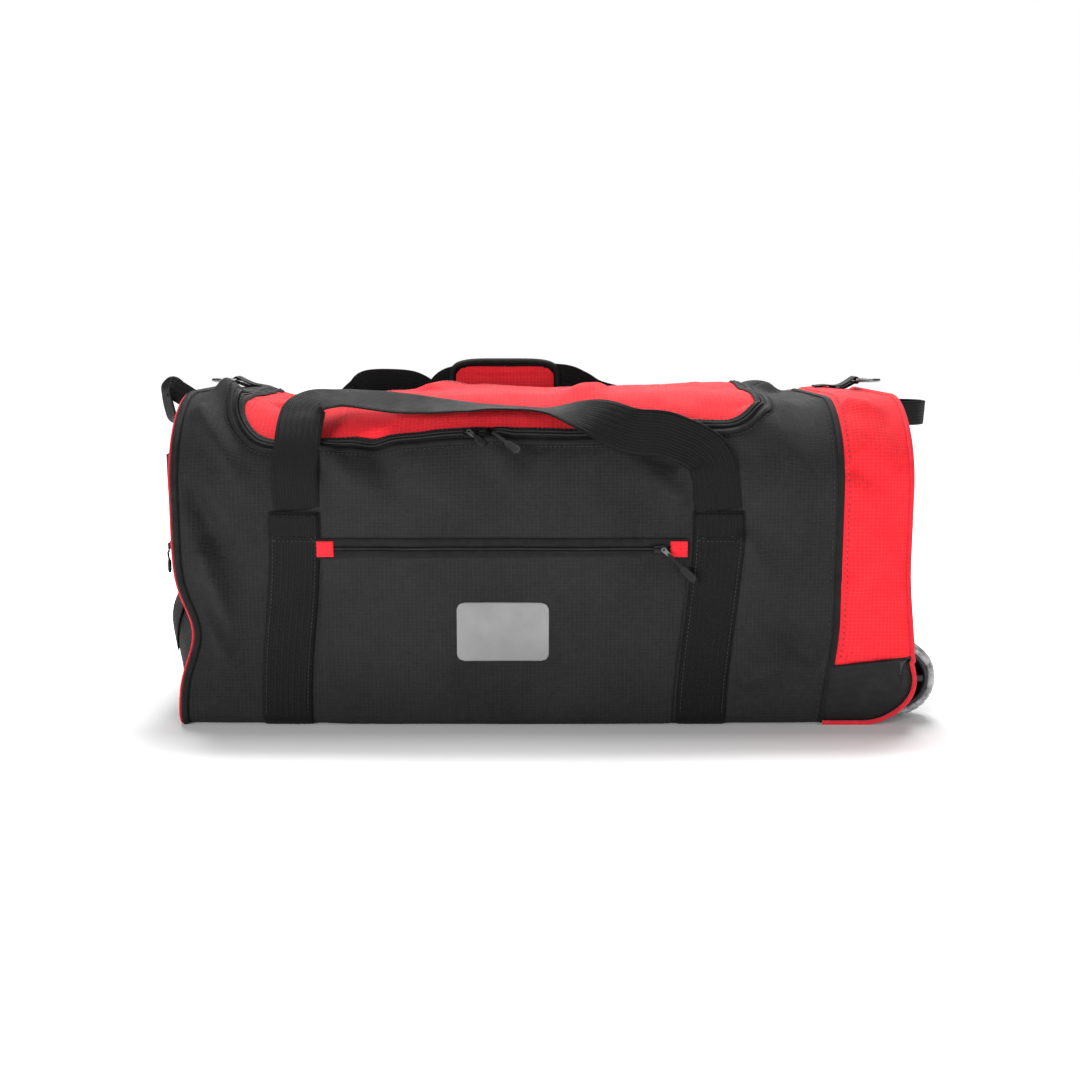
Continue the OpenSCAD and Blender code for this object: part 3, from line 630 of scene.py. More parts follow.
def add_studio():
    n = 48
    pts = [(0, 0, 0)]
    pts += [(FLOOR_R * math.cos(2 * PI * k / n), FLOOR_R * math.sin(2 * PI * k / n), 0) for k in range(n)]
    floor = mesh_object("studio_floor", pts, [(0, k + 1, (k + 1) % n + 1) for k in range(n)])
    f = Finish("studio_floor", 0.9)
    f.colour(f.mix(f.noise(3), (0.93, 0.93, 0.93, 1), (0.95, 0.95, 0.95, 1)))
    # the floor glows white away from the bag's footprint, so that only the floor close to it shows shadow
    f.bsdf.inputs["Emission Color"].default_value = (1, 1, 1, 1)
    split = f.add("SeparateXYZ", {"Vector": f.add("NewGeometry").outputs["Position"]})
    gap_x, gap_y = [f.math("MAXIMUM", f.math("SUBTRACT", f.math("ABSOLUTE", split.outputs[i]), reach))
                    for i, reach in ((0, -LEFT_X), (1, HALF_W))]
    away = f.math("SQRT", f.math("ADD", f.math("POWER", gap_x, 2.0), f.math("POWER", gap_y, 2.0)))
    f.tree.links.new(f.spread(away, 0.02, 0.24), f.bsdf.inputs["Emission Strength"])
    floor.data.materials.append(f.mat)
    world = bpy.data.worlds.new("studio")
    world.use_nodes = True
    tree = world.node_tree
    light = tree.nodes["Background"]
    light.inputs[0].default_value = (1, 1, 1, 1)
    light.inputs[1].default_value = WORLD_LIGHT
    backdrop = tree.nodes.new("ShaderNodeBackground")
    backdrop.inputs[1].default_value = 1.0
    backdrop.inputs[0].default_value = (1, 1, 1, 1)
    mix = tree.nodes.new("ShaderNodeMixShader")
    tree.links.new(tree.nodes.new("ShaderNodeLightPath").outputs["Is Camera Ray"], mix.inputs[0])
    tree.links.new(light.outputs[0], mix.inputs[1])
    tree.links.new(backdrop.outputs[0], mix.inputs[2])
    tree.links.new(mix.outputs[0], tree.nodes["World Output"].inputs[0])
    bpy.context.scene.world = world
    for light_row in LIGHTS:
        add_light(*light_row)


bpy.context.scene.view_settings.view_transform = "Standard"
add_camera()
add_studio()


# ---------- stitching ----------

STITCH_LENGTH = 0.0028
STITCH_R = 0.00042


def stitches(name, lines, body, pitch=0.0042):
    """Short raised threads along lines; each line is (points, normals)."""
    points, faces = [], []
    for path, normal in lines:
        path, normal = np.asarray(path, float), np.asarray(normal, float)
        run = run_along(path)
        for at in np.arange(pitch / 2, run[-1] - STITCH_LENGTH / 2, pitch):
            ends = [np.array([np.interp(at + k * STITCH_LENGTH / 2, run, path[:, i]) for i in range(3)])
                    for k in (-1, -0.5, 0.5, 1)]
            up = unit(np.array([np.interp(at, run, normal[:, i]) for i in range(3)]))
            along = unit(ends[3] - ends[0])
            side = np.cross(along, up)
            base = len(points)
            for e, size in zip(ends, (0.3, 1, 1, 0.3)):
                for a in range(6):
                    turn = a * PI / 3
                    rim = size * STITCH_R * (math.cos(turn) * up + math.sin(turn) * side)
                    points.append(e + up * 0.0002 + rim)
            for i in range(3):
                for j in range(6):
                    faces.append((base + i * 6 + j, base + i * 6 + (j + 1) % 6,
                                  base + i * 6 + 6 + (j + 1) % 6, base + i * 6 + 6 + j))
            faces += [tuple(base + j for j in reversed(range(6))), tuple(base + 18 + j for j in range(6))]
    obj = mesh_object(name, points, faces, np.zeros((len(points), 2)))
    return finish_piece(obj, body, THREAD)


def wall_line(xs, ss, lift=0.0004):
    """A line on the body's wall with its normals, for stitches."""
    xs, ss = np.broadcast_arrays(np.asarray(xs, float), np.asarray(ss, float))
    p = surface(xs, ss, lift)
    return p, surface(xs, ss, lift + 0.01) - p


# ---------- lid outline on the wall ----------

S_TABLE = np.linspace(FRONT * 0.6, S_HINGE + 0.03, 700)
V_TABLE = sum(section(S_TABLE)) / math.sqrt(2)
LID_V0 = float((-SHOULDER_Y - SHOULDER_R * math.cos(LID_FRONT_ELEV) + SHOULDER_Z
                + SHOULDER_R * math.sin(LID_FRONT_ELEV)) / math.sqrt(2))
V_HINGE = float(np.interp(S_HINGE, S_TABLE, V_TABLE))
LID_FRONT_S = float(np.interp(LID_V0, V_TABLE, S_TABLE))
TAPE_W = 0.008
TAPE_GAP = 0.0004
LID_BIND_W = 0.0062


def s_at(v):
    return np.interp(v, V_TABLE, S_TABLE)


def edge_climb(x, s):
    """The lid's front edge climbs the shoulder towards the wheel end."""
    return 0.011 * smooth((x - 0.02) / 0.18) * np.clip((S_HINGE - s) / (S_HINGE - LID_FRONT_S), 0, 1)


def lid_outline(d, side=60, arc=31, front=151, top=V_HINGE):
    """(x, s) along the lid's outline, d metres outside it, from the hinge round to the hinge."""
    r = LID_CORNER_R + d
    x0, x1, v0 = LID_X0 - d, LID_X1 + d, LID_V0 - d
    up = np.linspace(top, v0 + r, side, endpoint=False)
    turn = np.linspace(0, PI / 2, arc)
    x = np.concatenate([np.full(side, x0), x0 + r - r * np.cos(turn),
                        np.linspace(x0 + r, x1 - r, front)[1:-1],
                        x1 - r + r * np.sin(turn), np.full(side, x1)])
    v = np.concatenate([up, v0 + r - r * np.sin(turn), np.full(front - 2, v0),
                        v0 + r - r * np.cos(turn), up[::-1]])
    s = s_at(v)
    return x, s + edge_climb(x, s)


# ---------- body walls ----------

def outer_edge(count_side, count_bottom):
    down = np.linspace(S_HINGE, -CORNER, count_side)
    across = np.linspace(LEFT_X, RING_X, count_bottom)
    x = np.concatenate([np.full(count_side - 1, LEFT_X), across, np.full(count_side - 1, RING_X)])
    s = np.concatenate([down[:-1], np.full(count_bottom, -CORNER), down[::-1][1:]])
    return x, s


def add_front_fabric():
    x_in, s_in = lid_outline(TAPE_W - 0.001)
    half_arc = 60 + 16
    x_out, s_out = outer_edge(half_arc, len(x_in) - 2 * (half_arc - 1))
    k = np.linspace(0, 1, 104)[:, None]
    x, s = x_in * (1 - k) + x_out * k, s_in * (1 - k) + s_out * k
    obj = grid("front_fabric", surface(x, s), np.stack([x, s], -1))
    finish_piece(obj, "bag_body", [BLACK_CLOTH, LINING],
                 ("front_panel", "top_left_yoke", "top_right_yoke"))
    thicken(obj, CLOTH_T, inner=1, rim=1)


def wall(name, x0, x1, s0, s1, cols, rows, lift=0.0):
    s, x = np.meshgrid(np.linspace(s0, s1, rows), np.linspace(x0, x1, cols), indexing="ij")
    return grid(name, surface(x, s, lift), np.stack([x, s], -1))


def add_back_and_bottom():
    back = wall("back_fabric", LEFT_X, RING_X, S_HINGE, 2 * S_MID + CORNER, 200, 112)
    finish_piece(back, "bag_body", [BLACK_CLOTH, LINING], ("back_panel",))
    thicken(back, CLOTH_T, inner=1, rim=1)
    y, x = np.meshgrid(np.linspace(-HALF_W + BASE_R, HALF_W - BASE_R, 70),
                       np.linspace(LEFT_X, RING_X, 150), indexing="ij")
    z = 0.0006 * (1 + cloth_noise(x, y, 31))
    bottom = grid("bottom_cloth", warp(np.stack([x, y, z], -1)), np.stack([x, y], -1))
    finish_piece(bottom, "bag_body", [COATED, LINING], ("bottom_panel",))
    thicken(bottom, 0.0018, inner=1, rim=1)
    stitches("ring_seam_stitches", [wall_line(RING_X - 0.0075, np.linspace(-0.012, 2 * S_MID + 0.012, 240)),
                                    wall_line(RING_X + 0.0075, np.linspace(0.056, 2 * S_MID - 0.056, 220))],
             "bag_body", pitch=0.006)


def add_lid():
    rows = 90
    w = np.linspace(0, 1, 34)[:-1]
    r = LID_CORNER_R - 0.0015
    x0, x1, v0 = LID_X0 + 0.0015, LID_X1 - 0.0015, LID_V0 + 0.0015
    v_arc = v0 + r * (1 - np.cos(w * PI / 2))
    inset = r * (1 - np.sin(w * PI / 2))
    s_rest = np.linspace(s_at(v0 + r), S_HINGE + 0.014, rows - len(w))
    s_rows = np.concatenate([s_at(v_arc), s_rest])
    inset = np.concatenate([inset, np.zeros(len(s_rest))])
    t = np.linspace(0, 1, 150)
    x = (x0 + inset)[:, None] * (1 - t) + (x1 - inset)[:, None] * t
    s = np.repeat(s_rows[:, None], len(t), 1)
    s = s + edge_climb(x, s)
    obj = grid("lid_fabric", surface(x, s), np.stack([x, s], -1))
    finish_piece(obj, "lid_blend", [RED_CLOTH, LINING], ("lid_panel",))
    thicken(obj, 0.0020, inner=1, rim=1)
    return obj


def outline_strip(name, d0, d1, lift, crown, cols=5, **kw):
    """A strip between two offsets of the lid's outline, crowned in its middle."""
    parts = []
    for k in np.linspace(0, 1, cols):
        x, s = lid_outline(d0 + (d1 - d0) * k, **kw)
        parts.append((x, s, lift + crown * math.sin(PI * k)))
    pts = np.stack([surface(x, s, h) for x, s, h in parts], 1)
    run = run_along(pts[:, 0])
    uv = np.stack(np.broadcast_arrays(run[:, None], np.linspace(0, abs(d1 - d0), cols)[None]), -1)
    return grid(name, pts, uv)


COIL_PITCH = 0.0016
COIL_SWELL = 0.28


def coil_on(name, path, up, run, radius, body, replaced=()):
    """A zip's coil along a path: a thin tube that swells at each of its turns."""
    wave = 1 + COIL_SWELL * np.cos(2 * PI * run / COIL_PITCH)[:, None, None]
    rings = path[:, None] + (tube_points(path, radius, up, 6) - path[:, None]) * wave
    uv = np.stack(np.broadcast_arrays(run[:, None], np.linspace(0, 0.004, 6)[None]), -1)
    obj = mesh_object(name, rings, grid_faces(len(path), 6, wrap_cols=True), uv)
    return finish_piece(obj, body, COIL, replaced)


def coil(name, d, lift, radius, body, replaced=(), **kw):
    x, s = lid_outline(d, **kw)
    centre = surface(x, s, lift)
    up = surface(x, s, lift + 0.01) - centre
    both, run = resample(np.hstack([centre, up]), 1900)
    return coil_on(name, both[:, :3], unit(both[:, 3:]), run, radius, body, replaced)


def add_main_zip():
    tape_strip = outline_strip("main_zip_tape_cloth", TAPE_GAP, TAPE_W + 0.002, 0.0006, 0.0)
    finish_piece(tape_strip, "bag_body", ZIP_TAPE, ("main_zip_tape",))
    thicken(tape_strip, 0.0009)
    coil("main_zip_coil", TAPE_GAP + 0.0014, 0.0016, 0.0012, "bag_body", ("main_zip_teeth",))
    edge = outline_strip("body_zip_edging", TAPE_W - 0.0022, TAPE_W + 0.0042, 0.0012, 0.0011, cols=9)
    finish_piece(edge, "bag_body", BINDING)
    thicken(edge, 0.0011)
    kw = {"top": V_HINGE + 0.004}
    binding = outline_strip("lid_binding_tape", -TAPE_GAP, -LID_BIND_W, 0.0014, 0.0012, cols=9, **kw)
    finish_piece(binding, "lid_blend", BINDING, ("lid_binding",))
    thicken(binding, 0.0022)
    coil("lid_zip_coil", -TAPE_GAP - 0.0010, 0.0020, 0.0011, "lid_blend", ("lid_zip_teeth",), **kw)
    x, s = lid_outline(-LID_BIND_W + 0.0012)
    stitches("lid_binding_stitches", [wall_line(x, s, 0.0022)], "lid_blend", pitch=0.0045)
    x, s = lid_outline(TAPE_W + 0.0060)
    stitches("body_zip_stitches", [wall_line(x, s)], "bag_body", pitch=0.0045)


S_LOW = -CORNER - (HALF_W - BASE_R)
S_HIGH = 2 * S_MID - S_LOW
DOME_RUN = 0.088
DOME_D = LEFT_X - END_FACE_X


def dome(k, y, z):
    """How far the left end's cloth stands out, k of the way from its seam to its middle."""
    rise = smooth(np.clip(k * 0.170 / DOME_RUN, 0, 1)) * (1 - 0.35 * smooth((0.075 - z) / 0.06))
    return DOME_D * rise + 0.0030 * cloth_noise(y, z, 51) * smooth(k / 0.15) + 0.0015 * np.sin(PI * k)


def left_end_point(k, s):
    """Points on the domed left end: k from 0 at its seam to 1 at its middle."""
    k, s = np.broadcast_arrays(np.asarray(k, float), np.asarray(s, float))
    rim = surface(np.full_like(s, LEFT_X), s)
    centre = np.array([LEFT_X, 0.0, CENTRE_Z])
    flat = rim * (1 - k[..., None]) + centre * k[..., None]
    flat[..., 0] -= dome(k, flat[..., 1], flat[..., 2])
    return flat


def add_left_end():
    s = np.linspace(S_LOW, S_HIGH, 320, endpoint=False)
    k = np.concatenate([np.linspace(0, 0.36, 34), np.linspace(0.36, 0.985, 32)[1:]])
    kk, ss = np.meshgrid(k, s, indexing="ij")
    pts = left_end_point(kk, ss)
    uv = pts[..., 1:3]
    faces = grid_faces(*kk.shape, wrap_cols=True)
    last = (len(k) - 1) * len(s)
    faces.append(tuple(last + j for j in range(len(s))))
    obj = mesh_object("left_end_fabric", pts, faces, uv)
    finish_piece(obj, "bag_body", [BLACK_CLOTH, LINING], ("left_end_panel",))
    thicken(obj, CLOTH_T, inner=1, rim=1)
    s = np.linspace(S_LOW, S_HIGH, 520, endpoint=False)
    path = surface(np.full_like(s, LEFT_X - 0.0026), s, -0.0003)
    up = surface(np.full_like(s, LEFT_X), s, 0.02) - path
    piping = tube("left_piping_cord", path, 0.0015, up, 10, closed=True)
    finish_piece(piping, "bag_body", PIPING, ("left_end_piping",))
    flange_path = surface(np.full_like(s, LEFT_X + 0.0020), s, 0.0012)
    flange = tube("left_seam_flange", flange_path, 0.0036, up, 10, squash=0.6, closed=True)
    finish_piece(flange, "bag_body", BINDING)


# ---------- wheel end ----------

ARC_START_X = END_X - END_CORNER_R
BAY_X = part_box("wheel_housing_front")[0].x
HOUSING_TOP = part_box("wheel_housing_front")[1].z
HOUSING_Y0 = -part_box("wheel_housing_front")[1].y
HOUSING_Y1 = -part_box("wheel_housing_front")[0].y


def profile_point(p):
    """(x, z) along the wheel end's bottom edge, round its corner and up the end; p in metres."""
    p = np.asarray(p, float)
    flat = ARC_START_X - RING_X
    turn = np.clip((p - flat) / END_CORNER_R, 0, PI / 2)
    rest = np.maximum(p - flat - END_CORNER_R * PI / 2, 0)
    x = RING_X + np.minimum(p, flat) + END_CORNER_R * np.sin(turn)
    z = END_CORNER_R * (1 - np.cos(turn)) + rest
    return x, z, np.sin(turn), -np.cos(turn)


def guard_rise(x):
    """The guard's top seam climbs a little towards the end."""
    return 0.010 * (x - RING_X) / (END_X - RING_X) - 0.005


P_END = (ARC_START_X - RING_X) + END_CORNER_R * PI / 2 + (GUARD_Z - END_CORNER_R)


def add_guard():
    """Wear guard: one cloth over the bottom, round the corner and up the front, back and end."""
    flat = BAY_X - RING_X
    p = np.unique(np.concatenate([np.linspace(0, flat, 8), np.linspace(flat, P_END, 44)]))
    half = HALF_W - BASE_R
    ys = np.unique(np.round(np.concatenate([np.linspace(-half, half, 47), [-HOUSING_Y1, -HOUSING_Y0,
                                                                           HOUSING_Y0, HOUSING_Y1]]), 5))
    px, pz, nx, nz = profile_point(p)
    top_x = RING_X + (END_X - RING_X) * p / P_END
    face = np.linspace(0, 1, 15)[:-1]
    edge = np.linspace(0, PI / 2, 7)[:-1]

    def side_rows(sign):
        out = []
        for t in face:
            puff = 0.0035 * math.sin(PI * (1 - t) * 0.5 + 0.2) * np.sin(PI * np.clip(p / P_END, 0.03, 0.97))
            x = top_x * (1 - t) + px * t
            z = (GUARD_Z + guard_rise(top_x)) * (1 - t) + pz * t
            x, z = x - nx * BASE_R * t, z - nz * BASE_R * t
            out.append(np.stack([x, np.full_like(x, sign * HALF_W) + sign * puff, z], -1))
        for a in edge:
            x, z = px - nx * BASE_R * (1 - math.sin(a)), pz - nz * BASE_R * (1 - math.sin(a))
            out.append(np.stack([x, np.full_like(x, sign * (half + BASE_R * math.cos(a))), z], -1))
        return out

    rows = side_rows(-1)
    first = len(rows)
    for y in ys:
        rows.append(np.stack([px, np.full_like(px, y), pz], -1))
    rows += side_rows(1)[::-1]
    pts = np.stack(rows)
    keep = np.ones((len(rows) - 1, len(p) - 1), bool)
    for i in range(len(ys) - 1):
        mid = abs(ys[i] + ys[i + 1]) / 2
        if HOUSING_Y0 - 1e-6 < mid < HOUSING_Y1 + 1e-6:
            keep[first + i] = (p[:-1] + p[1:]) / 2 < flat
    uv = np.stack([np.broadcast_to(p, pts.shape[:2]), pts[..., 1] + 0.3 * pts[..., 2]], -1)
    obj = mesh_object("wheel_end_guard_cloth", warp(pts), grid_faces(*pts.shape[:2], keep=keep), uv)
    finish_piece(obj, "bag_body", [COATED, LINING], ("wheel_end_guard",))
    thicken(obj, EDGE_CLOTH_T, inner=1, rim=0)


def end_x(y, z):
    """The wheel end's face at (y, z), puffed out past its seam."""
    across = np.clip(1 - (y / HALF_W) ** 2, 0, 1)
    up = np.clip((z - GUARD_Z * 0.5) / (TOP_Z - GUARD_Z * 0.5), 0, 1)
    return (END_X + 0.0065 * across ** 0.7 * np.sin(PI * up) ** 0.8
            + 0.0015 * cloth_noise(y, z, 71) * np.sin(PI * up))


def add_end_panel():
    up = SHOULDER_Z + SHOULDER_R * np.sin(np.linspace(0, PI / 2, 36))
    z = np.unique(np.round(np.concatenate([np.linspace(GUARD_Z, HOUSING_TOP, 9),
                                           np.linspace(HOUSING_TOP, SHOULDER_Z, 50), up]), 5))
    bays = np.array([-HOUSING_Y1, -HOUSING_Y0, HOUSING_Y0, HOUSING_Y1]) / HALF_W
    t = np.unique(np.round(np.concatenate([np.linspace(-1, 1, 91), bays]), 5))
    width = SHOULDER_Y + np.sqrt(np.maximum(SHOULDER_R ** 2 - np.maximum(z - SHOULDER_Z, 0) ** 2, 0))
    y = width[:, None] * t
    zz = np.repeat(z[:, None], len(t), 1)
    pts = np.stack([end_x(y, zz), y, zz], -1)
    low = (zz[:-1, :-1] + zz[1:, 1:]) / 2 < HOUSING_TOP
    mid = np.abs(t[:-1] + t[1:]) / 2 * HALF_W
    hole = (mid > HOUSING_Y0) & (mid < HOUSING_Y1)
    obj = mesh_object("wheel_end_fabric", warp(pts), grid_faces(*pts.shape[:2], keep=~(low & hole)),
                      np.stack([y, zz], -1))
    finish_piece(obj, "bag_body", [BLACK_CLOTH, LINING], ("wheel_end_panel",))
    thicken(obj, EDGE_CLOTH_T, inner=1, rim=0)


def add_wheel_end():
    s0 = GUARD_Z - BASE_R
    t, x = np.meshgrid(np.linspace(-1, 1, 300), np.linspace(RING_X, END_X, 34), indexing="ij")
    s = S_MID + t * (S_MID - s0 - guard_rise(x))
    gusset = grid("wheel_end_red_fabric", surface(x, s), np.stack([x, s], -1))
    finish_piece(gusset, "bag_body", [RED_CLOTH, LINING], ("wheel_end_gusset",))
    thicken(gusset, CLOTH_T, inner=1, rim=0)
    add_guard()
    add_end_panel()
    # the seam cord: along the bottom edge, round the corner, up and over the top, and down again
    p = np.linspace(0, P_END, 46)[:-1]
    px, pz, nx, nz = profile_point(p)
    front = np.stack([px - nx * 0.0024, np.full_like(px, -HALF_W + 0.0022), pz - nz * 0.0024], -1)
    over_s = np.linspace(s0, 2 * S_MID - s0, 330)
    back = front[::-1] * np.array([1, -1, 1])
    over = surface(np.full_like(over_s, END_X - 0.0008), over_s, 0.0008)
    path = np.vstack([warp(front), over, warp(back)])
    up = unit(path - np.array([END_X - 0.06, 0, 0.16]))
    cord = tube("wheel_end_piping_cord", path, 0.0023, up, 10)
    finish_piece(cord, "bag_body", PIPING, ("wheel_end_piping",))
    ring_s = np.linspace(-CORNER - 0.02, 2 * S_MID + CORNER + 0.02, 420)
    path = surface(np.full_like(ring_s, RING_X), ring_s, 0.0008)
    up = surface(np.full_like(ring_s, RING_X), ring_s, 0.02) - path
    ring = tube("ring_binding_tape", path, 0.0034, up, 12, squash=0.55)
    finish_piece(ring, "bag_body", BINDING, ("ring_binding",))
    x = np.linspace(RING_X + 0.006, END_X - 0.008, 30)
    stitches("guard_stitches", [wall_line(x, s0 - 0.004 + guard_rise(x))], "bag_body")


add_front_fabric()
add_back_and_bottom()
add_lid()
add_main_zip()
add_left_end()
add_wheel_end()


# ---------- straps and pockets on the front and back ----------

POCKET_LOW, POCKET_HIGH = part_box("front_pocket_panel")
POCKET_TAPE_LOW, POCKET_TAPE_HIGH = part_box("pocket_zip_tape")
POCKET_ZIP_Z = (POCKET_TAPE_LOW.z + POCKET_TAPE_HIGH.z) / 2
STRAP_TOP_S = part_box("strap_front_left")[1].z - BASE_R
STRAP_LEFT_X = -(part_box("strap_front_left")[0].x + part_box("strap_front_left")[1].x) / 2
STRAP_RIGHT_X = (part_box("strap_front_right")[0].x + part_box("strap_front_right")[1].x) / 2


POCKET_COIL_R = 0.0013


def strap_x(middle, s):
    """The straps lean slightly towards the wheel end as they rise."""
    return middle - 0.0088 + 0.0133 * smooth(s / 0.19)


def mirrored_s(s, side):
    return s if side < 0 else 2 * S_MID - s


def add_strap(name, middle, side):
    s = np.linspace(-CORNER - 0.004, STRAP_TOP_S, 90)
    t = np.linspace(-1, 1, 17)
    x = strap_x(middle, s)[:, None] + t * WEB_W / 2
    ss = mirrored_s(np.repeat(s[:, None], len(t), 1), side)
    lift = 0.0012 + 0.0014 * (1 - np.abs(t) ** 6) + 0.0007 * cloth_noise(x, ss, 83)
    obj = grid(name, surface(x, ss, lift), np.stack([ss, x - strap_x(middle, s)[:, None]], -1))
    finish_piece(obj, "bag_body", WEB, (name.replace("_webbing", ""),))
    thicken(obj, 0.0018)
    lines = []
    for edge in (-0.021, 0.021):
        e = np.linspace(0.0, STRAP_TOP_S - 0.004, 70)
        lines.append(wall_line(strap_x(middle, e) + edge, mirrored_s(e, side), 0.0030))
    box = STRAP_TOP_S - 0.030
    across = np.linspace(-0.021, 0.021, 12)
    for a, b in ((box, box), (STRAP_TOP_S - 0.004, STRAP_TOP_S - 0.004), (box, STRAP_TOP_S - 0.004),
                 (STRAP_TOP_S - 0.004, box)):
        e = np.linspace(a, b, 12)
        lines.append(wall_line(strap_x(middle, e) + across, mirrored_s(e, side), 0.0032))
    stitches(name + "_stitches", lines, "bag_body")


def add_anchor_patches():
    pieces = []
    low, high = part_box("handle_anchor_patches")
    z0, z1 = low.z - BASE_R, high.z - BASE_R
    for middle in (-STRAP_LEFT_X, STRAP_RIGHT_X):
        for side in (-1, 1):
            s = np.linspace(z0, z1, 14)
            t = np.linspace(-1, 1, 15)
            x = strap_x(middle, s)[:, None] + t * (WEB_W / 2 - 0.0006)
            ss = mirrored_s(np.repeat(s[:, None], len(t), 1), side)
            ends = 1 - np.abs(2 * (s - z0) / (z1 - z0) - 1)[:, None] ** 10
            rim = np.minimum(1 - np.abs(t)[None] ** 8, ends)
            pts = surface(x, ss, 0.0030 + 0.0012 * rim)
            part = grid("patch", pts, np.stack([ss + 0.4, x], -1))
            face_out(part)
            pieces.append(part)
    obj = join("handle_anchor_webbing", pieces)
    finish_piece(obj, "bag_body", WEB_SOFT, ("handle_anchor_patches",))
    thicken(obj, 0.0016)


def pocket_lift(x, s):
    """Fullness of the front pocket, pinched at its seams and under its zip."""
    u = np.clip((x - POCKET_LOW.x) / (POCKET_HIGH.x - POCKET_LOW.x), 0, 1)
    v = np.clip(s / (POCKET_HIGH.z - BASE_R), 0, 1)
    edge = np.clip(np.minimum(u, 1 - u) / 0.10, 0, 1)
    full = np.sin(edge * PI / 2) * np.sin(PI * np.clip(v * 0.90 + 0.05, 0, 1)) ** 0.6
    return 0.0006 + 0.0040 * full + 0.0016 * cloth_noise(x + 0.3, s, 91) * full


def add_front_pocket():
    x0, x1 = POCKET_LOW.x + 0.001, POCKET_HIGH.x - 0.001
    s0, s1 = -0.012, POCKET_TAPE_HIGH.z - BASE_R - 0.0145
    s, t = np.meshgrid(np.linspace(s0, s1, 70), np.linspace(0, 1, 150), indexing="ij")
    left = x0 - 0.006 + 0.012 * smooth(s / 0.18)
    right = x1 - 0.012 + 0.014 * smooth(s / 0.18)
    x = left + (right - left) * t
    obj = grid("front_pocket_fabric", surface(x, s, pocket_lift(x, s)), np.stack([x + 0.0013, s + 0.002], -1))
    finish_piece(obj, "bag_body", BLACK_CLOTH, ("front_pocket_panel",))
    thicken(obj, 0.0010)
    lines = [wall_line(np.linspace(x0 + 0.004, x1 - 0.002, 120), s1 - 0.0035, 0.0012)]
    stitches("front_pocket_stitches", lines, "bag_body", pitch=0.0045)
    # zip: tape folded into two lips, with the coil between them
    zip_s = POCKET_ZIP_Z - BASE_R
    for name, a, b in (("pocket_zip_lower_lip", zip_s - 0.0105, zip_s - 0.0014),
                       ("pocket_zip_upper_lip", zip_s + 0.0014, zip_s + 0.0105)):
        ss, xx = np.meshgrid(np.linspace(a, b, 9), np.linspace(x0, x1, 170), indexing="ij")
        k = (ss - a) / (b - a)
        lift = 0.0012 + 0.0013 * np.sin(PI * k) + 0.0003 * cloth_noise(xx, ss, 97)
        lip = grid(name, surface(xx, ss, lift), np.stack([xx, ss], -1))
        finish_piece(lip, "bag_body", ZIP_TAPE, ("pocket_zip_tape",) if "lower" in name else ())
        thicken(lip, 0.0010)
    line = np.linspace(x0, x1, 400)
    path = surface(line, np.full_like(line, zip_s), 0.0018)
    up = surface(line, np.full_like(line, zip_s), 0.012) - path
    both, run = resample(np.hstack([path, up]), 1000)
    coil_on("pocket_zip_coil", both[:, :3], unit(both[:, 3:]), run, POCKET_COIL_R, "bag_body")
    add_pocket_tabs(zip_s, x0, x1)


def add_pocket_tabs(zip_s, x0, x1):
    """Folded red tabs over both ends of the pocket zip."""
    pieces = []
    half = (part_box("pocket_zip_tabs")[1].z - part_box("pocket_zip_tabs")[0].z) / 2
    for at, width in ((x0 + 0.0085, 0.0085), (x1 - 0.0085, 0.0085)):
        t, r = np.meshgrid(np.linspace(-1, 1, 22), np.linspace(-1, 1, 22), indexing="ij")
        rim = np.minimum(1 - np.abs(t) ** 8, 1 - np.abs(r) ** 8)
        x, s = at + width * r, zip_s + half * t
        lift = 0.0030 + 0.0010 * rim + 0.0003 * cloth_noise(x * 3, s * 3, 5)
        pieces.append(grid("tab", surface(x, s, lift), np.stack([x, s], -1)))
    obj = join("pocket_red_tabs", pieces)
    finish_piece(obj, "bag_body", RED_CLOTH, ("pocket_zip_tabs",))
    thicken(obj, 0.0012)


def rounded_patch(w, h, r, rows, cols):
    """(x, z) over a rounded rectangle, rows by cols, its outline on the grid's edge."""
    t, q = np.meshgrid(np.linspace(-1, 1, cols), np.linspace(-1, 1, rows))
    x, z = t * w / 2, q * h / 2
    over_z = np.maximum(np.abs(z) - (h / 2 - r), 0)
    pull = r - np.sqrt(np.maximum(r * r - over_z ** 2, 0))
    return x * (1 - pull / (w / 2)), z


def add_patch():
    low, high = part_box("front_patch")
    dx, dz = rounded_patch(high.x - low.x, high.z - low.z, 0.008, 40, 60)
    x = (low.x + high.x) / 2 + dx
    s = (low.z + high.z) / 2 - BASE_R + dz
    obj = grid("front_reflective_patch", surface(x, s, pocket_lift(x, s) + 0.0008), np.stack([x, s], -1))
    finish_piece(obj, "bag_body", FILM, ("front_patch",))
    thicken(obj, 0.0006)


# ---------- left end: pocket, zip and grab handle ----------

END_POCKET_LOW, END_POCKET_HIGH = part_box("end_pocket_panel")
END_TAPE_LOW, END_TAPE_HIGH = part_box("end_pocket_zip_tape")
END_ZIP_Z = (END_TAPE_LOW.z + END_TAPE_HIGH.z) / 2


def end_wall_x(y, z):
    """Roughly where the left end's face is at (y, z), with the dent that warp() gives it."""
    dy, dz = np.abs(y), z - CENTRE_Z
    reach_z = np.where(dz > 0, TOP_Z - CENTRE_Z, CENTRE_Z)
    k = np.clip(1 - np.maximum(dy / HALF_W, np.abs(dz) / reach_z), 0, 1)
    rim_z = CENTRE_Z + dz / np.maximum(1 - k, 0.2)
    dent = np.where(y < 0, 0.0154 * bump((rim_z - 0.095) / 0.040) * (1 - k), 0.0)
    return LEFT_X + dent - dome(k, y, z)


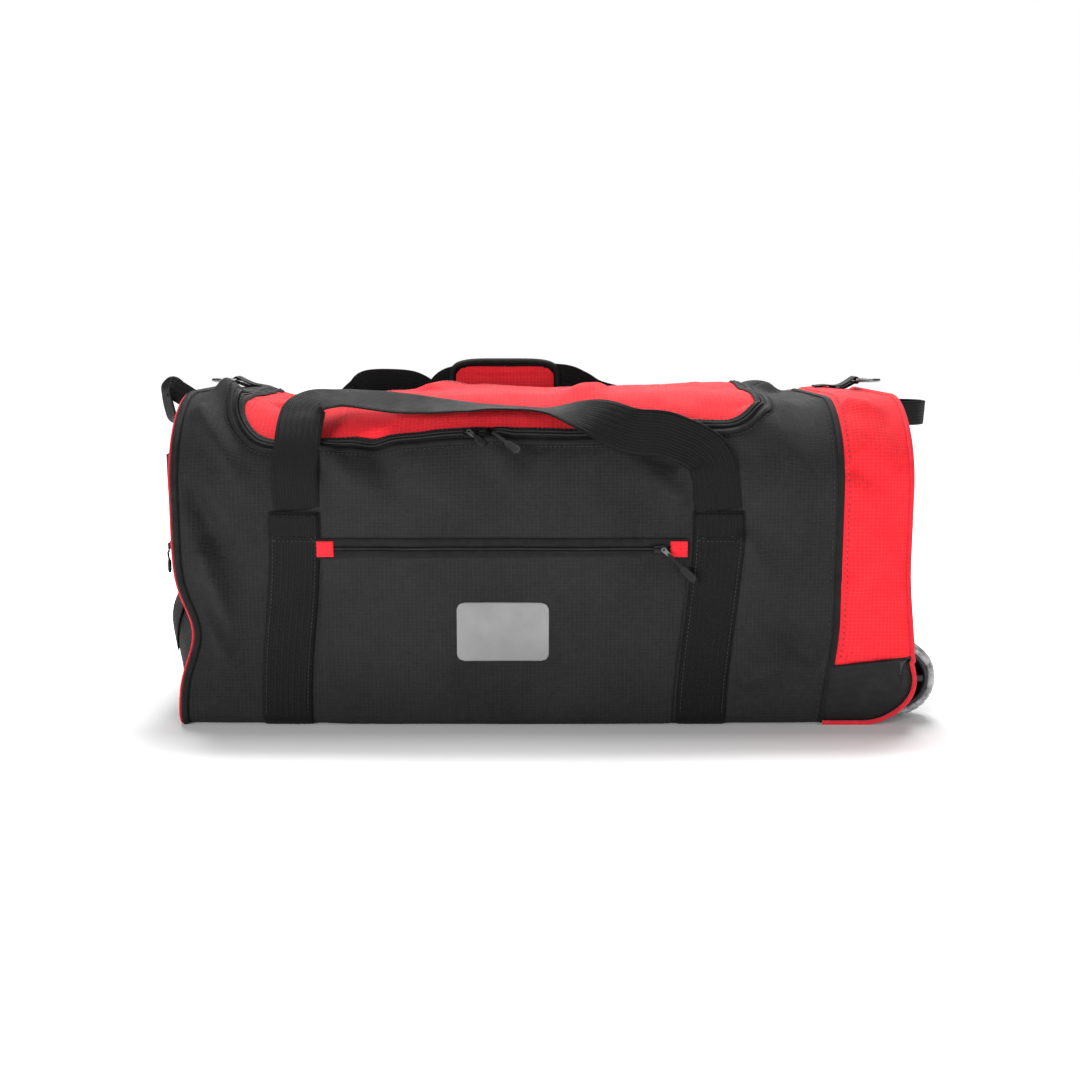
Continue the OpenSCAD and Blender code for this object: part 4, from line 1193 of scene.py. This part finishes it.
def end_sheet(name, y0, y1, z0, z1, lift, material, replaced, rows, cols):
    """A sheet on the left end, lift(y, z) outside it."""
    z, y = np.meshgrid(np.linspace(z0, z1, rows), np.linspace(y0, y1, cols), indexing="ij")
    pts = np.stack([end_wall_x(y, z) - lift(y, z), y, z], -1)
    obj = grid(name, pts, np.stack([y, z], -1))
    finish_piece(obj, "bag_body", material, replaced)
    thicken(obj, 0.0012)


def add_end_pocket():
    y1 = END_POCKET_HIGH.y

    def fullness(y, z):
        u = 1 - (np.abs(y) / y1) ** 6
        v = np.clip((END_POCKET_HIGH.z - z) / (END_POCKET_HIGH.z - END_POCKET_LOW.z), 0, 1)
        full = np.clip(u, 0, 1) * np.sin(PI * np.clip(v, 0, 1)) ** 0.9 * smooth(v / 0.75)
        return 0.0012 + 0.0085 * full + 0.0018 * cloth_noise(y + 0.2, z, 61) * full

    end_sheet("end_pocket_fabric", -y1, y1, END_POCKET_LOW.z, END_POCKET_HIGH.z, fullness,
              BLACK_CLOTH, ("end_pocket_panel",), 60, 110)
    for name, a, b in (("end_zip_lower_lip", END_TAPE_LOW.z, END_ZIP_Z - 0.0014),
                       ("end_zip_upper_lip", END_ZIP_Z + 0.0014, END_TAPE_HIGH.z)):
        end_sheet(name, -y1, y1, a, b, lambda y, z: 0.0014 + 0.0013 * np.sin(PI * (z - a) / (b - a)),
                  ZIP_TAPE, ("end_pocket_zip_tape",) if "lower" in name else (), 9, 110)
    y = np.linspace(-y1, y1, 640)
    path = np.stack([end_wall_x(y, END_ZIP_Z) - 0.0020, y, np.full_like(y, END_ZIP_Z)], -1)
    coil_on("end_zip_coil", path, np.tile([-1.0, 0, 0], (len(y), 1)), y, POCKET_COIL_R, "bag_body")


RIPPLE_SEED = 3


def ribbon_piece(name, controls, width, thickness, body, material, replaced, count, ripple=0.0):
    """A webbing through controls of (point, across direction), smoothed along its length."""
    rows = np.array([list(p) + list(a) for p, a in controls], float)
    both, run = resample(rows, count)
    path, across = both[:, :3], both[:, 3:]
    t = tangents(path)
    across = unit(across - t * np.sum(across * t, -1, keepdims=True))
    normal = np.cross(t, across)
    if ripple:
        path = path + normal * (ripple * value_noise(run / 0.03, run * 0 + 0.5, RIPPLE_SEED))[:, None]
    obj = band(name, path, across, normal, width, thickness)
    return finish_piece(obj, body, material, replaced), path, across, normal


WEB_T = 0.0020


def add_end_handle():
    low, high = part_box("end_grab_handle")
    z = (low.z + high.z) / 2
    y = high.y
    up = (0, 0.0, 1)
    x_out = low.x + 0.0018
    wall_x = float(end_wall_x(np.array(y - 0.008), np.array(z)))
    ctrl = [((wall_x - 0.0018, -y, z), up), ((wall_x - 0.0022, -y + 0.016, z), up),
            ((x_out + 0.007, -y + 0.030, z), up), ((x_out + 0.001, -y + 0.046, z), up),
            ((x_out, -0.015, z), up), ((x_out, 0.015, z), up), ((x_out + 0.001, y - 0.046, z), up),
            ((x_out + 0.007, y - 0.030, z), up), ((wall_x - 0.0022, y - 0.016, z), up),
            ((wall_x - 0.0018, y, z), up)]
    ribbon_piece("end_grab_webbing", ctrl, high.z - low.z, WEB_T, "bag_body", WEB, ("end_grab_handle",), 120)


# ---------- corner loops and D-ring tabs ----------

def add_loops():
    low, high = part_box("left_corner_loop")
    y = (low.y + high.y) / 2
    # each row: where the webbing's middle is, and the direction across it
    left = [
        ((high.x - 0.002, y, 0.3170), (0.20, 0.60, 0.70)), ((high.x - 0.012, y, 0.3255), (0.25, 0.45, 0.80)),
        ((high.x - 0.026, y, 0.3345), (0.30, 0.40, 0.80)), ((low.x + 0.013, y, 0.3400), (0.20, 0.50, 0.80)),
        ((low.x + 0.0075, y, 0.3370), (-0.45, 0.70, 0.40)),
        ((low.x + 0.0080, y, 0.3290), (-0.60, 0.75, 0.10)),
        ((low.x + 0.0105, y, 0.3160), (-0.62, 0.76, -0.10)),
        ((low.x + 0.0135, y, 0.3065), (-0.55, 0.80, -0.15)),
        ((low.x + 0.0210, y, 0.3015), (-0.20, 0.95, 0.0)), ((high.x - 0.018, y, 0.3020), (0.0, 1, 0.1)),
        ((high.x - 0.008, y, 0.3050), (0.0, 1, 0.1))]
    ribbon_piece("left_loop_webbing", left, 0.0235, 0.0018, "bag_body", WEB, ("left_corner_loop",), 110)
    low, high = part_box("wheel_end_loop")
    z = (low.z + high.z) / 2
    y0, y1 = low.y + 0.006, high.y - 0.006
    x0 = END_X - 0.004
    up = (0.06, 0, 1)
    right = [((x0 + 0.001, y0 + 0.004, z), up), ((x0 + 0.010, y0 + 0.008, z), up),
             ((x0 + 0.022, y0 + 0.014, z), up),
             ((high.x - 0.0018, y0 + 0.024, z), up), ((high.x - 0.001, (y0 + y1) / 2, z), up),
             ((high.x - 0.0018, y1 - 0.024, z), up), ((x0 + 0.022, y1 - 0.014, z), up),
             ((x0 + 0.010, y1 - 0.008, z), up), ((x0 + 0.001, y1 - 0.004, z), up)]
    ribbon_piece("wheel_end_loop_webbing", right, high.z - low.z, WEB_T, "bag_body", WEB,
                 ("wheel_end_loop",), 110)


def add_ring_tabs():
    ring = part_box("d_ring_right")
    z = (ring[0].z + ring[1].z) / 2
    y = (ring[0].y + ring[1].y) / 2
    bar_x = ring[0].x + 0.002
    pieces = []
    for side in (-1, 1):
        def at(x, h):
            p = surface(np.array(side * x), np.array(S_MID + y), h)
            return (p[0], p[1], p[2])
        pts = [at(bar_x - 0.046, 0.0016), at(bar_x - 0.034, 0.0022), at(bar_x - 0.016, 0.0040)]
        r = 0.0034
        for a in np.linspace(110, -120, 9):
            pts.append((side * (bar_x + r * math.cos(math.radians(a))), y, z + r * math.sin(math.radians(a))))
        pts.append(at(bar_x - 0.012, 0.0014))
        pts.append(at(bar_x - 0.026, 0.0008))
        controls = [(p, (0, 1, 0)) for p in pts]
        pieces.append(ribbon_piece("tab", controls, 0.025, 0.0015, "bag_body", WEB, (), 70)[0])
    obj = join("d_ring_webbing_tabs", pieces)
    while len(obj.data.materials) > 1:
        obj.data.materials.pop()
    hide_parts("d_ring_tabs")


# ---------- carry handles ----------

def over_body(side, u, elev, r):
    """A point u of the way from the left strap to the right, elev degrees up round the shoulder's middle."""
    x = -STRAP_LEFT_X + u * (STRAP_LEFT_X + STRAP_RIGHT_X)
    a = math.radians(elev)
    return np.array([x, side * (SHOULDER_Y + r * math.cos(a)), SHOULDER_Z + r * math.sin(a)])


HANDLE_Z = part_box("strap_front_left")[1].z
HANDLE_Y = HALF_W + 0.0058


def handle_controls(side, route, leg_x):
    """Controls for a handle from (u, elev, r, turn): turn leans its face from flat towards upright."""
    rows = [(over_body(side, u, elev, r), math.radians(elev + turn)) for u, elev, r, turn in route]
    first = np.array([-STRAP_LEFT_X + leg_x[0], side * HANDLE_Y, HANDLE_Z])
    last = np.array([STRAP_RIGHT_X + leg_x[1], side * HANDLE_Y, HANDLE_Z])
    points = np.array([first] + [r[0] for r in rows] + [last])
    angles = [0.0] + [r[1] for r in rows] + [0.0]
    controls = []
    for p, a, along in zip(points, angles, tangents(points)):
        normal = np.array([0, side * math.cos(a), math.sin(a)])
        controls.append((p, unit(np.cross(normal, along))))
    return controls


FRONT_HANDLE = [
    (0.013, 10, 0.1020, 0), (0.019, 26, 0.1035, 0), (0.023, 40, 0.1050, 0), (0.030, 49, 0.1058, 3),
    (0.052, 55.0, 0.1065, 8), (0.092, 57.0, 0.1065, 13), (0.140, 57.5, 0.1062, 14.5), (0.260, 54, 0.1060, 14),
    (0.410, 50.5, 0.1060, 31), (0.480, 50, 0.1062, 38), (0.600, 48, 0.1065, 40), (0.676, 45, 0.1065, 15),
    (0.737, 41, 0.1065, -11), (0.806, 34, 0.1065, -22), (0.876, 32.5, 0.1060, -22.5),
    (0.918, 29, 0.1060, -19),
    (0.956, 25, 0.1055, -13), (0.988, 19, 0.1040, -9), (1.000, 9.5, 0.1020, -3)]
REAR_HANDLE = [
    (0.005, 6, 0.1030, 0), (0.014, 22, 0.1075, -14), (0.033, 34, 0.1125, -26), (0.072, 42, 0.1180, -34),
    (0.098, 46.5, 0.1200, -35), (0.186, 46.5, 0.1200, -35), (0.230, 44, 0.1200, -20), (0.285, 36, 0.1180, 20),
    (0.340, 50, 0.1190, -36), (0.490, 52, 0.1195, -41), (0.640, 52, 0.1195, -41), (0.695, 47, 0.1190, -38),
    (0.740, 40, 0.1180, -30), (0.800, 36, 0.1160, -26), (0.870, 34, 0.1130, -24), (0.926, 27, 0.1080, -12),
    (0.974, 16, 0.1040, 0), (0.995, 5, 0.1025, 0)]


HANDLE_W = 0.046
HANDLE_T = 0.0019


def add_handles():
    """Both handles; returns the rear one's path and its direction across, for the grip."""
    front = handle_controls(-1, FRONT_HANDLE, (0.0080, 0.0045))
    rear = handle_controls(1, REAR_HANDLE, (0.0, 0.0))
    ribbon_piece("front_handle_webbing", front, HANDLE_W, HANDLE_T, "front_handle", WEB_SOFT,
                 ("front_handle",), 300, ripple=0.0008)
    return ribbon_piece("rear_handle_webbing", rear, HANDLE_W, HANDLE_T, "rear_handle", WEB_SOFT,
                        ("rear_handle",), 300)[1:3]


CLOTH_FRAMES = 20


def swell(obj, pressure, cap, voxel):
    """Fills a closed pad with a short cloth simulation; no point moves further than cap."""
    remesh = obj.modifiers.new("remesh", "REMESH")
    remesh.mode = "VOXEL"
    remesh.voxel_size = voxel
    bpy.context.view_layer.objects.active = obj
    bpy.ops.object.select_all(action="DESELECT")
    obj.select_set(True)
    bpy.ops.object.modifier_apply(modifier="remesh")
    before = coords(obj)
    cloth = obj.modifiers.new("cloth", "CLOTH")
    cloth.settings.use_pressure = True
    cloth.settings.uniform_pressure_force = pressure
    cloth.settings.effector_weights.gravity = 0
    cloth.settings.quality = 6
    scene = bpy.context.scene
    for frame_number in range(1, CLOTH_FRAMES + 1):
        scene.frame_set(frame_number)
    shaped = obj.evaluated_get(bpy.context.evaluated_depsgraph_get())
    after = coords(shaped)
    obj.modifiers.remove(cloth)
    scene.frame_set(1)
    moved = after - before
    size = np.linalg.norm(moved, axis=1, keepdims=True)
    moved = moved * np.minimum(1, cap / np.maximum(size, 1e-9))
    set_coords(obj, before + moved)


def superellipse_ring(w, h, n, power=4.5):
    a = np.linspace(0, 2 * PI, n, endpoint=False)
    c, s = np.cos(a), np.sin(a)
    return np.stack([np.sign(c) * np.abs(c) ** (2 / power) * w / 2,
                     np.sign(s) * np.abs(s) ** (2 / power) * h / 2], -1)


def pad_mesh(name, w, h, t, n=96):
    """A closed pillow-edged pad w by h by t, flat on both faces."""
    shells = []
    for k, z in ((0.0, -0.5), (0.35, -0.5), (0.93, -0.5), (1.0, -0.22), (1.0, 0.22), (0.93, 0.5), (0.35, 0.5),
                 (0.0, 0.5)):
        ring = superellipse_ring(w * max(k, 0.004), h * max(k, 0.004), n)
        shells.append(np.column_stack([ring, np.full(n, z * t)]))
    pts = np.stack(shells)
    faces = grid_faces(len(shells), n, wrap_cols=True)
    faces += end_caps(len(shells), n)
    return mesh_object(name, pts, faces)


def place_on(obj, origin, x_axis, y_axis):
    """Moves a mesh made at the origin so that its own x and y lie along the given axes."""
    x_axis, y_axis = unit(np.asarray(x_axis, float)), np.asarray(y_axis, float)
    z_axis = unit(np.cross(x_axis, y_axis))
    y_axis = np.cross(z_axis, x_axis)
    co = coords(obj)
    out = np.asarray(origin) + co[:, :1] * x_axis + co[:, 1:2] * y_axis + co[:, 2:] * z_axis
    set_coords(obj, out)


def flat_uv(obj):
    """Metric UVs for a pad: its own x and y."""
    layer = obj.data.uv_layers.new(name="metres") if not obj.data.uv_layers else obj.data.uv_layers[0]
    co = coords(obj)
    loops = np.empty(len(obj.data.loops), int)
    obj.data.loops.foreach_get("vertex_index", loops)
    layer.data.foreach_set("uv", co[loops][:, :2].ravel())


GRIP_H = 0.058
GRIP_SEAM = 0.014


def add_grip(path, across):
    """Two swelled pads round the rear handle, with a bound edge."""
    low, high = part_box("grip_binding")
    centre_x = (low.x + high.x) / 2
    i = int(np.argmin(np.abs(path[:, 0] - centre_x)))
    origin, up = path[i], across[i]
    if up[2] < 0:
        up = -up
    along = np.array([1.0, 0, 0])
    w, h = high.x - low.x + 0.008, GRIP_H
    halves = []
    for sign in (-1, 1):
        pad = pad_mesh("grip_pad", w - GRIP_SEAM, h - GRIP_SEAM, 0.0036)
        swell(pad, 3.0, 0.0022, voxel=0.0022)
        co = coords(pad)
        # two lines of quilting press the pad down
        for line in (-0.0095, 0.0095):
            co[:, 2] *= 1 - 0.35 * np.exp(-((co[:, 1] - line) / 0.0016) ** 2)
        co[:, 2] += sign * 0.0030
        set_coords(pad, co)
        flat_uv(pad)
        pad.data.polygons.foreach_set("use_smooth", [True] * len(pad.data.polygons))
        halves.append(pad)
    grip = join("grip_padding", halves)
    place_on(grip, origin, along, up)
    finish_piece(grip, "rear_handle", RED_CLOTH, ("grip_wrap",))
    ring = superellipse_ring(w - 0.006, h - 0.006, 220)
    path3 = np.column_stack([ring, np.zeros(len(ring))])
    outward = np.column_stack([ring / np.linalg.norm(ring, axis=1, keepdims=True), np.zeros(len(ring))])
    edge = tube("grip_edge_binding", path3, 0.0046, outward, 14, squash=0.8, closed=True)
    place_on(edge, origin, along, up)
    finish_piece(edge, "rear_handle", BINDING, ("grip_binding",))
    subdiv = grip.modifiers.new("smooth", "SUBSURF")
    subdiv.levels = subdiv.render_levels = 1


for strap_side, wall_name in ((-1, "front"), (1, "back")):
    add_strap(f"strap_{wall_name}_left_webbing", -STRAP_LEFT_X, strap_side)
    add_strap(f"strap_{wall_name}_right_webbing", STRAP_RIGHT_X, strap_side)
add_anchor_patches()
add_front_pocket()
add_patch()
add_end_pocket()
add_end_handle()
add_loops()
add_ring_tabs()
add_grip(*add_handles())


# ---------- sliders and pulls ----------

def extrude(name, outline, z0, z1, holes=(), bevel=0.0003):
    """A flat part from a 2-D outline, with its edges rounded."""
    curve = bpy.data.curves.new(name, "CURVE")
    curve.dimensions = "2D"
    curve.fill_mode = "BOTH"
    for loop in [outline, *holes]:
        spline = curve.splines.new("POLY")
        spline.points.add(len(loop) - 1)
        for p, (x, y) in zip(spline.points, loop):
            p.co = (x, y, 0, 1)
        spline.use_cyclic_u = True
    curve.extrude = (z1 - z0) / 2 - bevel
    curve.bevel_depth = bevel
    curve.bevel_resolution = 2
    curve.offset = -bevel
    temp = bpy.data.objects.new(name, curve)
    bpy.context.collection.objects.link(temp)
    mesh = bpy.data.meshes.new_from_object(temp.evaluated_get(bpy.context.evaluated_depsgraph_get()))
    bpy.data.objects.remove(temp)
    bpy.data.curves.remove(curve)
    mesh.name = name
    obj = bpy.data.objects.new(name, mesh)
    bpy.context.collection.objects.link(obj)
    co = coords(obj)
    co[:, 2] += (z0 + z1) / 2
    set_coords(obj, co)
    weld = obj.modifiers.new("weld", "WELD")
    weld.merge_threshold = 0.00001
    bpy.context.view_layer.objects.active = obj
    bpy.ops.object.modifier_apply(modifier="weld")
    return obj


def circle(x, y, r, n=20):
    return [(x + r * math.cos(2 * PI * k / n), y + r * math.sin(2 * PI * k / n)) for k in range(n)]


def capsule(x0, x1, w0, w1, n=10):
    """Outline of a bar from x0 to x1, w0 wide at its start and w1 at its end, with round ends."""
    pts = [(x0 + w0 / 2 - w0 / 2 * math.cos(a), -w0 / 2 * math.sin(a)) for a in np.linspace(0, PI / 2, n)]
    pts += [(x1 - w1 / 2 + w1 / 2 * math.sin(a), -w1 / 2 * math.cos(a)) for a in np.linspace(0, PI, 2 * n)]
    pts += [(x0 + w0 / 2 - w0 / 2 * math.sin(a), w0 / 2 * math.cos(a)) for a in np.linspace(0, PI / 2, n)]
    return pts


def slider_mesh():
    """Two plates with a wedge nose, a bridge over the top and the post between them."""
    plate = [(-0.0065, -0.0024), (-0.0058, -0.0034), (-0.0010, -0.0038), (0.0022, -0.0046), (0.0052, -0.0044),
             (0.0064, -0.0034), (0.0066, 0.0), (0.0064, 0.0034), (0.0052, 0.0044), (0.0022, 0.0046),
             (-0.0010, 0.0038), (-0.0058, 0.0034), (-0.0065, 0.0024)]
    parts = [extrude("slider", plate, 0.0, 0.0012), extrude("slider", plate, 0.0021, 0.0033)]
    parts.append(extrude("slider", capsule(-0.001, 0.0060, 0.003, 0.0022), 0.0010, 0.0023))
    arch = [(-0.0052, 0.0, 0.0030), (-0.0048, 0.0, 0.0044), (-0.0034, 0.0, 0.0052), (0.0, 0.0, 0.0054),
            (0.0034, 0.0, 0.0052), (0.0048, 0.0, 0.0044), (0.0052, 0.0, 0.0030)]
    path, _ = resample(np.array(arch), 26)
    t = tangents(path)
    across = np.tile([0.0, 1, 0], (len(path), 1))
    parts.append(band("slider", path, across, np.cross(across, t), 0.0022, 0.0010))
    drop_uvs(parts)
    return join("slider", parts)


LONG_PULL = 0.03


def pull_mesh(length):
    """A metal tongue on the slider's bridge, and two thin cords to a moulded grip with ribs."""
    tongue = extrude("pull", capsule(-0.0026, 0.0085, 0.0050, 0.0040), -0.0005, 0.0005,
                     holes=[circle(0.0, 0.0, 0.0013), circle(0.0064, 0.0, 0.0010)], bevel=0.0002)
    neck0, grip0 = 0.0052, length - 0.020 if length > LONG_PULL else length - 0.014
    path, _ = resample(np.array([(neck0 + 0.002, 0, 0.0012), ((neck0 + grip0) / 2, 0.0004, 0.0009),
                                 (grip0 + 0.002, 0, 0.0)]), 30)
    up = np.tile([0.0, 0, 1], (len(path), 1))
    neck_a = tube("pull", path + np.array([0, 0.0007, 0]), 0.0009, up, 8)
    neck_b = tube("pull", path - np.array([0, 0.0007, 0]), 0.0009, up, 8)
    w = 0.0072 if length > LONG_PULL else 0.0060
    grip = extrude("pull", [(grip0, -0.0016), (grip0 + 0.003, -w / 2), (length - 0.003, -w / 2 - 0.0004),
                            (length, -w / 2 + 0.0018), (length, w / 2 - 0.0018),
                            (length - 0.003, w / 2 + 0.0004), (grip0 + 0.003, w / 2), (grip0, 0.0016)],
                   -0.0013, 0.0013, bevel=0.0006)
    ribs = []
    for x in np.arange(grip0 + 0.0042, length - 0.003, 0.0022):
        ribs.append(extrude("pull", [(x - 0.0005, -w / 2 + 0.001), (x + 0.0005, -w / 2 + 0.001),
                                     (x + 0.0005, w / 2 - 0.001), (x - 0.0005, w / 2 - 0.001)],
                            -0.0017, 0.0017, bevel=0.0003))
    drop_uvs((neck_a, neck_b))
    return tongue, join("pull", [grip, neck_a, neck_b] + ribs)


def add_zip_runner(label, at, x_axis, normal, length, turn, pin):
    """A slider at a point of the wall, and its pull hanging at turn degrees from the zip line."""
    x_axis, normal = unit(np.asarray(x_axis, float)), unit(np.asarray(normal, float))
    y_axis = np.cross(normal, x_axis)
    slider = slider_mesh()
    slider.name = slider.data.name = label + "_slider_body"
    place_on(slider, at, x_axis, y_axis)
    finish_piece(slider, SLIDER_OF[label], ENAMEL, (SLIDER_OF[label],))
    a = math.radians(turn)
    along = math.cos(a) * x_axis + math.sin(a) * y_axis
    side = np.cross(normal, along)
    tongue, grip = pull_mesh(length)
    origin = np.asarray(at) + x_axis * pin + normal * 0.0060
    tongue_metal = GUNMETAL if label in BRIGHT else ENAMEL
    for part, name, mat, slot in ((tongue, "_pull_tongue", tongue_metal, "slider_black"),
                                  (grip, "_pull_grip", PULL, "pull_black")):
        part.name = part.data.name = label + name
        place_on(part, origin, along, side)
        finish_piece(part, PULL_OF[label], mat, (PULL_OF[label],) if name == "_pull_grip" else ())


SLIDER_OF = {"main_left": "main_slider_left", "main_right": "main_slider_right", "pocket": "pocket_slider",
             "end": "end_slider"}
PULL_OF = {"main_left": "main_pull_left", "main_right": "main_pull_right", "pocket": "pocket_pull",
           "end": "end_pull"}
BRIGHT = ("pocket", "main_left")


def add_sliders():
    zip_s = float(s_at(LID_V0 - 0.0025))
    for label, length, pin in (("main_left", 0.022, -0.001), ("main_right", 0.046, 0.003)):
        low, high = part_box(SLIDER_OF[label])
        x = (low.x + high.x) / 2
        p = surface(np.array([x - 0.004, x, x + 0.004]), zip_s, 0.0016)
        out = surface(x, zip_s, 0.02) - p[1]
        add_zip_runner(label, p[1], p[2] - p[0], out, length, -45, pin)
    low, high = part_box("pocket_slider")
    x = (low.x + high.x) / 2
    p = surface(np.array([x - 0.004, x, x + 0.004]), POCKET_ZIP_Z - BASE_R, 0.0026)
    out = surface(x, POCKET_ZIP_Z - BASE_R, 0.02) - p[1]
    add_zip_runner("pocket", p[1], p[2] - p[0], out, 0.044, -45, 0.003)
    low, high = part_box("end_slider")
    y = (low.y + high.y) / 2
    at = np.array([float(end_wall_x(np.array(y), np.array(END_ZIP_Z))) - 0.0028, y, END_ZIP_Z])
    add_zip_runner("end", at, (0, -1, 0), (-1, 0, 0), 0.030, -90, 0.0)


# ---------- wheels ----------

def lathe(name, profile, centre, n=96, shape=None):
    """Turns (radius, y) points about the wheel's axle; shape may change radii round the wheel."""
    a = np.linspace(0, 2 * PI, n, endpoint=False)
    prof = np.array(profile)
    r = np.repeat(prof[:, :1], n, 1)
    if shape is not None:
        r = shape(r, prof[:, 1:2], a[None])
    pts = np.stack([r * np.cos(a), np.repeat(prof[:, 1:2], n, 1), r * np.sin(a)], -1) + np.array(centre)
    uv = np.stack(np.broadcast_arrays(0.04 * a[None], np.arange(len(prof))[:, None] * 0.002), -1)
    closed = bool(np.allclose(prof[0], prof[-1]))
    if closed:
        pts, uv = pts[:-1], uv[:-1]
    return mesh_object(name, pts, grid_faces(len(pts), n, wrap_rows=closed, wrap_cols=True), uv)


SPOKES = 6


def add_wheel(place):
    low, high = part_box(f"wheel_tyre_{place}")
    centre = (low + high) / 2
    r, half = (high.z - low.z) / 2, (high.y - low.y) / 2
    hub_r = (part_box(f"wheel_hub_{place}")[1].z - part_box(f"wheel_hub_{place}")[0].z) / 2

    def tread(radius, y, a):
        shoulder = bump((np.abs(y) - 0.75 * half) / (0.22 * half))
        groove = smooth((np.cos(30 * a + 14 * y / half) - 0.55) / 0.35) * shoulder
        return radius - 0.0011 * groove * (radius > r - 0.002)

    ring = [(hub_r, -half + 0.0012), (hub_r + 0.0012, -half), (r - 0.0055, -half),
            (r - 0.0032, -half + 0.0008), (r - 0.0012, -half + 0.0028), (r - 0.0002, -half + 0.0062)]
    for k in np.linspace(-0.5, 0.5, 13):
        ring.append((r - 0.0004 * abs(k) - 0.0008 * (abs(abs(k) - 0.2) < 0.03), k * half * 1.1))
    ring += [(a, -b) for a, b in reversed(ring[:6])] + [ring[0]]
    tyre = lathe(f"wheel_tyre_{place}_tread", ring, centre, 240, tread)
    finish_piece(tyre, f"wheel_{place}", TYRE, (f"wheel_tyre_{place}",))
    rim = [(hub_r, -half + 0.0006), (hub_r - 0.0030, -half + 0.0004), (hub_r - 0.0042, -half + 0.0040),
           (hub_r - 0.0046, 0), (hub_r - 0.0042, half - 0.0040), (hub_r - 0.0030, half - 0.0004),
           (hub_r, half - 0.0006), (hub_r, -half + 0.0006)]
    boss_r, bore_r = 0.0138, 0.0112
    boss = [(bore_r, -half + 0.0004), (boss_r - 0.0006, -half + 0.0002), (boss_r, -half + 0.0010),
            (boss_r, half - 0.0010), (boss_r - 0.0006, half - 0.0002), (bore_r, half - 0.0004),
            (bore_r, -half + 0.0004)]
    parts = [lathe("hub", rim, centre, 96), lathe("hub", boss, centre, 64)]
    web = [(boss_r - 0.001, -0.0012), (hub_r - 0.0035, -0.0012), (hub_r - 0.0035, 0.0012),
           (boss_r - 0.001, 0.0012), (boss_r - 0.001, -0.0012)]
    parts.append(lathe("hub", web, centre, 96))
    for k in range(SPOKES):
        spoke = extrude("hub", capsule(boss_r - 0.003, hub_r - 0.002, 0.0052, 0.0068), -half + 0.0028,
                        half - 0.0028, bevel=0.0007)
        a = 2 * PI * k / SPOKES
        place_on(spoke, centre, (math.cos(a), 0, math.sin(a)), (math.sin(a), 0, -math.cos(a)))
        parts.append(spoke)
    drop_uvs(parts)
    hub = join(f"wheel_hub_{place}_spoked", parts)
    finish_piece(hub, f"wheel_{place}", HUB, (f"wheel_hub_{place}",))


# ---------- CAD parts that keep their shape ----------

KEPT = {
    "base_board": BOARD, "axle_bolts": STEEL, "axle_nuts": STEEL, "housing_rivets": STEEL,
    "wheel_bearings_front": STEEL, "wheel_bearings_back": STEEL,
    "d_ring_left": GUNMETAL, "d_ring_right": GUNMETAL,
}


def finish_kept_parts():
    for node, mat in KEPT.items():
        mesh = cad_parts[node].data
        mesh.materials.clear()
        mesh.materials.append(mat)


def add_housing(place):
    """The moulded wheel housing, cut to the bag's round bottom corner, with its edges rubbed off."""
    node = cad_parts[f"wheel_housing_{place}"]
    mesh = node.data.copy()
    housing = bpy.data.objects.new(f"wheel_housing_{place}_moulded", mesh)
    bpy.context.collection.objects.link(housing)
    mesh.materials.clear()
    low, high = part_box(node.name)
    turn = np.linspace(0, PI / 2, 24)
    inner = END_CORNER_R - 0.0010
    top = high.z - 0.0015
    outline = [(low.x - 0.02, top), (low.x - 0.02, 0.0010)]
    outline += [(ARC_START_X + inner * math.sin(a), END_CORNER_R - inner * math.cos(a)) for a in turn]
    outline += [(END_X - 0.0010, top - 0.016), (END_X - 0.0050, top - 0.006), (END_X - 0.0080, top)]
    n = len(outline)
    pts = [(x, y, z) for y in (low.y - 0.01, high.y + 0.01) for x, z in outline]
    faces = [(i, (i + 1) % n, n + (i + 1) % n, n + i) for i in range(n)]
    cutter = mesh_object("cutter", pts, faces + [tuple(range(n))[::-1], tuple(range(n, 2 * n))])
    bpy.context.view_layer.objects.active = cutter
    bpy.ops.object.select_all(action="DESELECT")
    cutter.select_set(True)
    bpy.ops.object.mode_set(mode="EDIT")
    bpy.ops.mesh.select_all(action="SELECT")
    bpy.ops.mesh.normals_make_consistent(inside=False)
    bpy.ops.object.mode_set(mode="OBJECT")
    for kind, name in (("WELD", "weld"), ("BOOLEAN", "cut"), ("BEVEL", "bevel")):
        mod = housing.modifiers.new(name, kind)
        if kind == "WELD":
            mod.merge_threshold = 0.00001
        elif kind == "BOOLEAN":
            mod.operation = "INTERSECT"
            mod.solver = "EXACT"
            mod.object = cutter
        else:
            mod.width = 0.0009
            mod.segments = 2
            mod.limit_method = "ANGLE"
        bpy.context.view_layer.objects.active = housing
        bpy.ops.object.modifier_apply(modifier=name)
    bpy.data.objects.remove(cutter)
    finish_piece(housing, "bag_body", HOUSING, (node.name,))


add_sliders()
for wheel_place in ("front", "back"):
    add_housing(wheel_place)
for wheel_place in ("front", "back"):
    add_wheel(wheel_place)
finish_kept_parts()
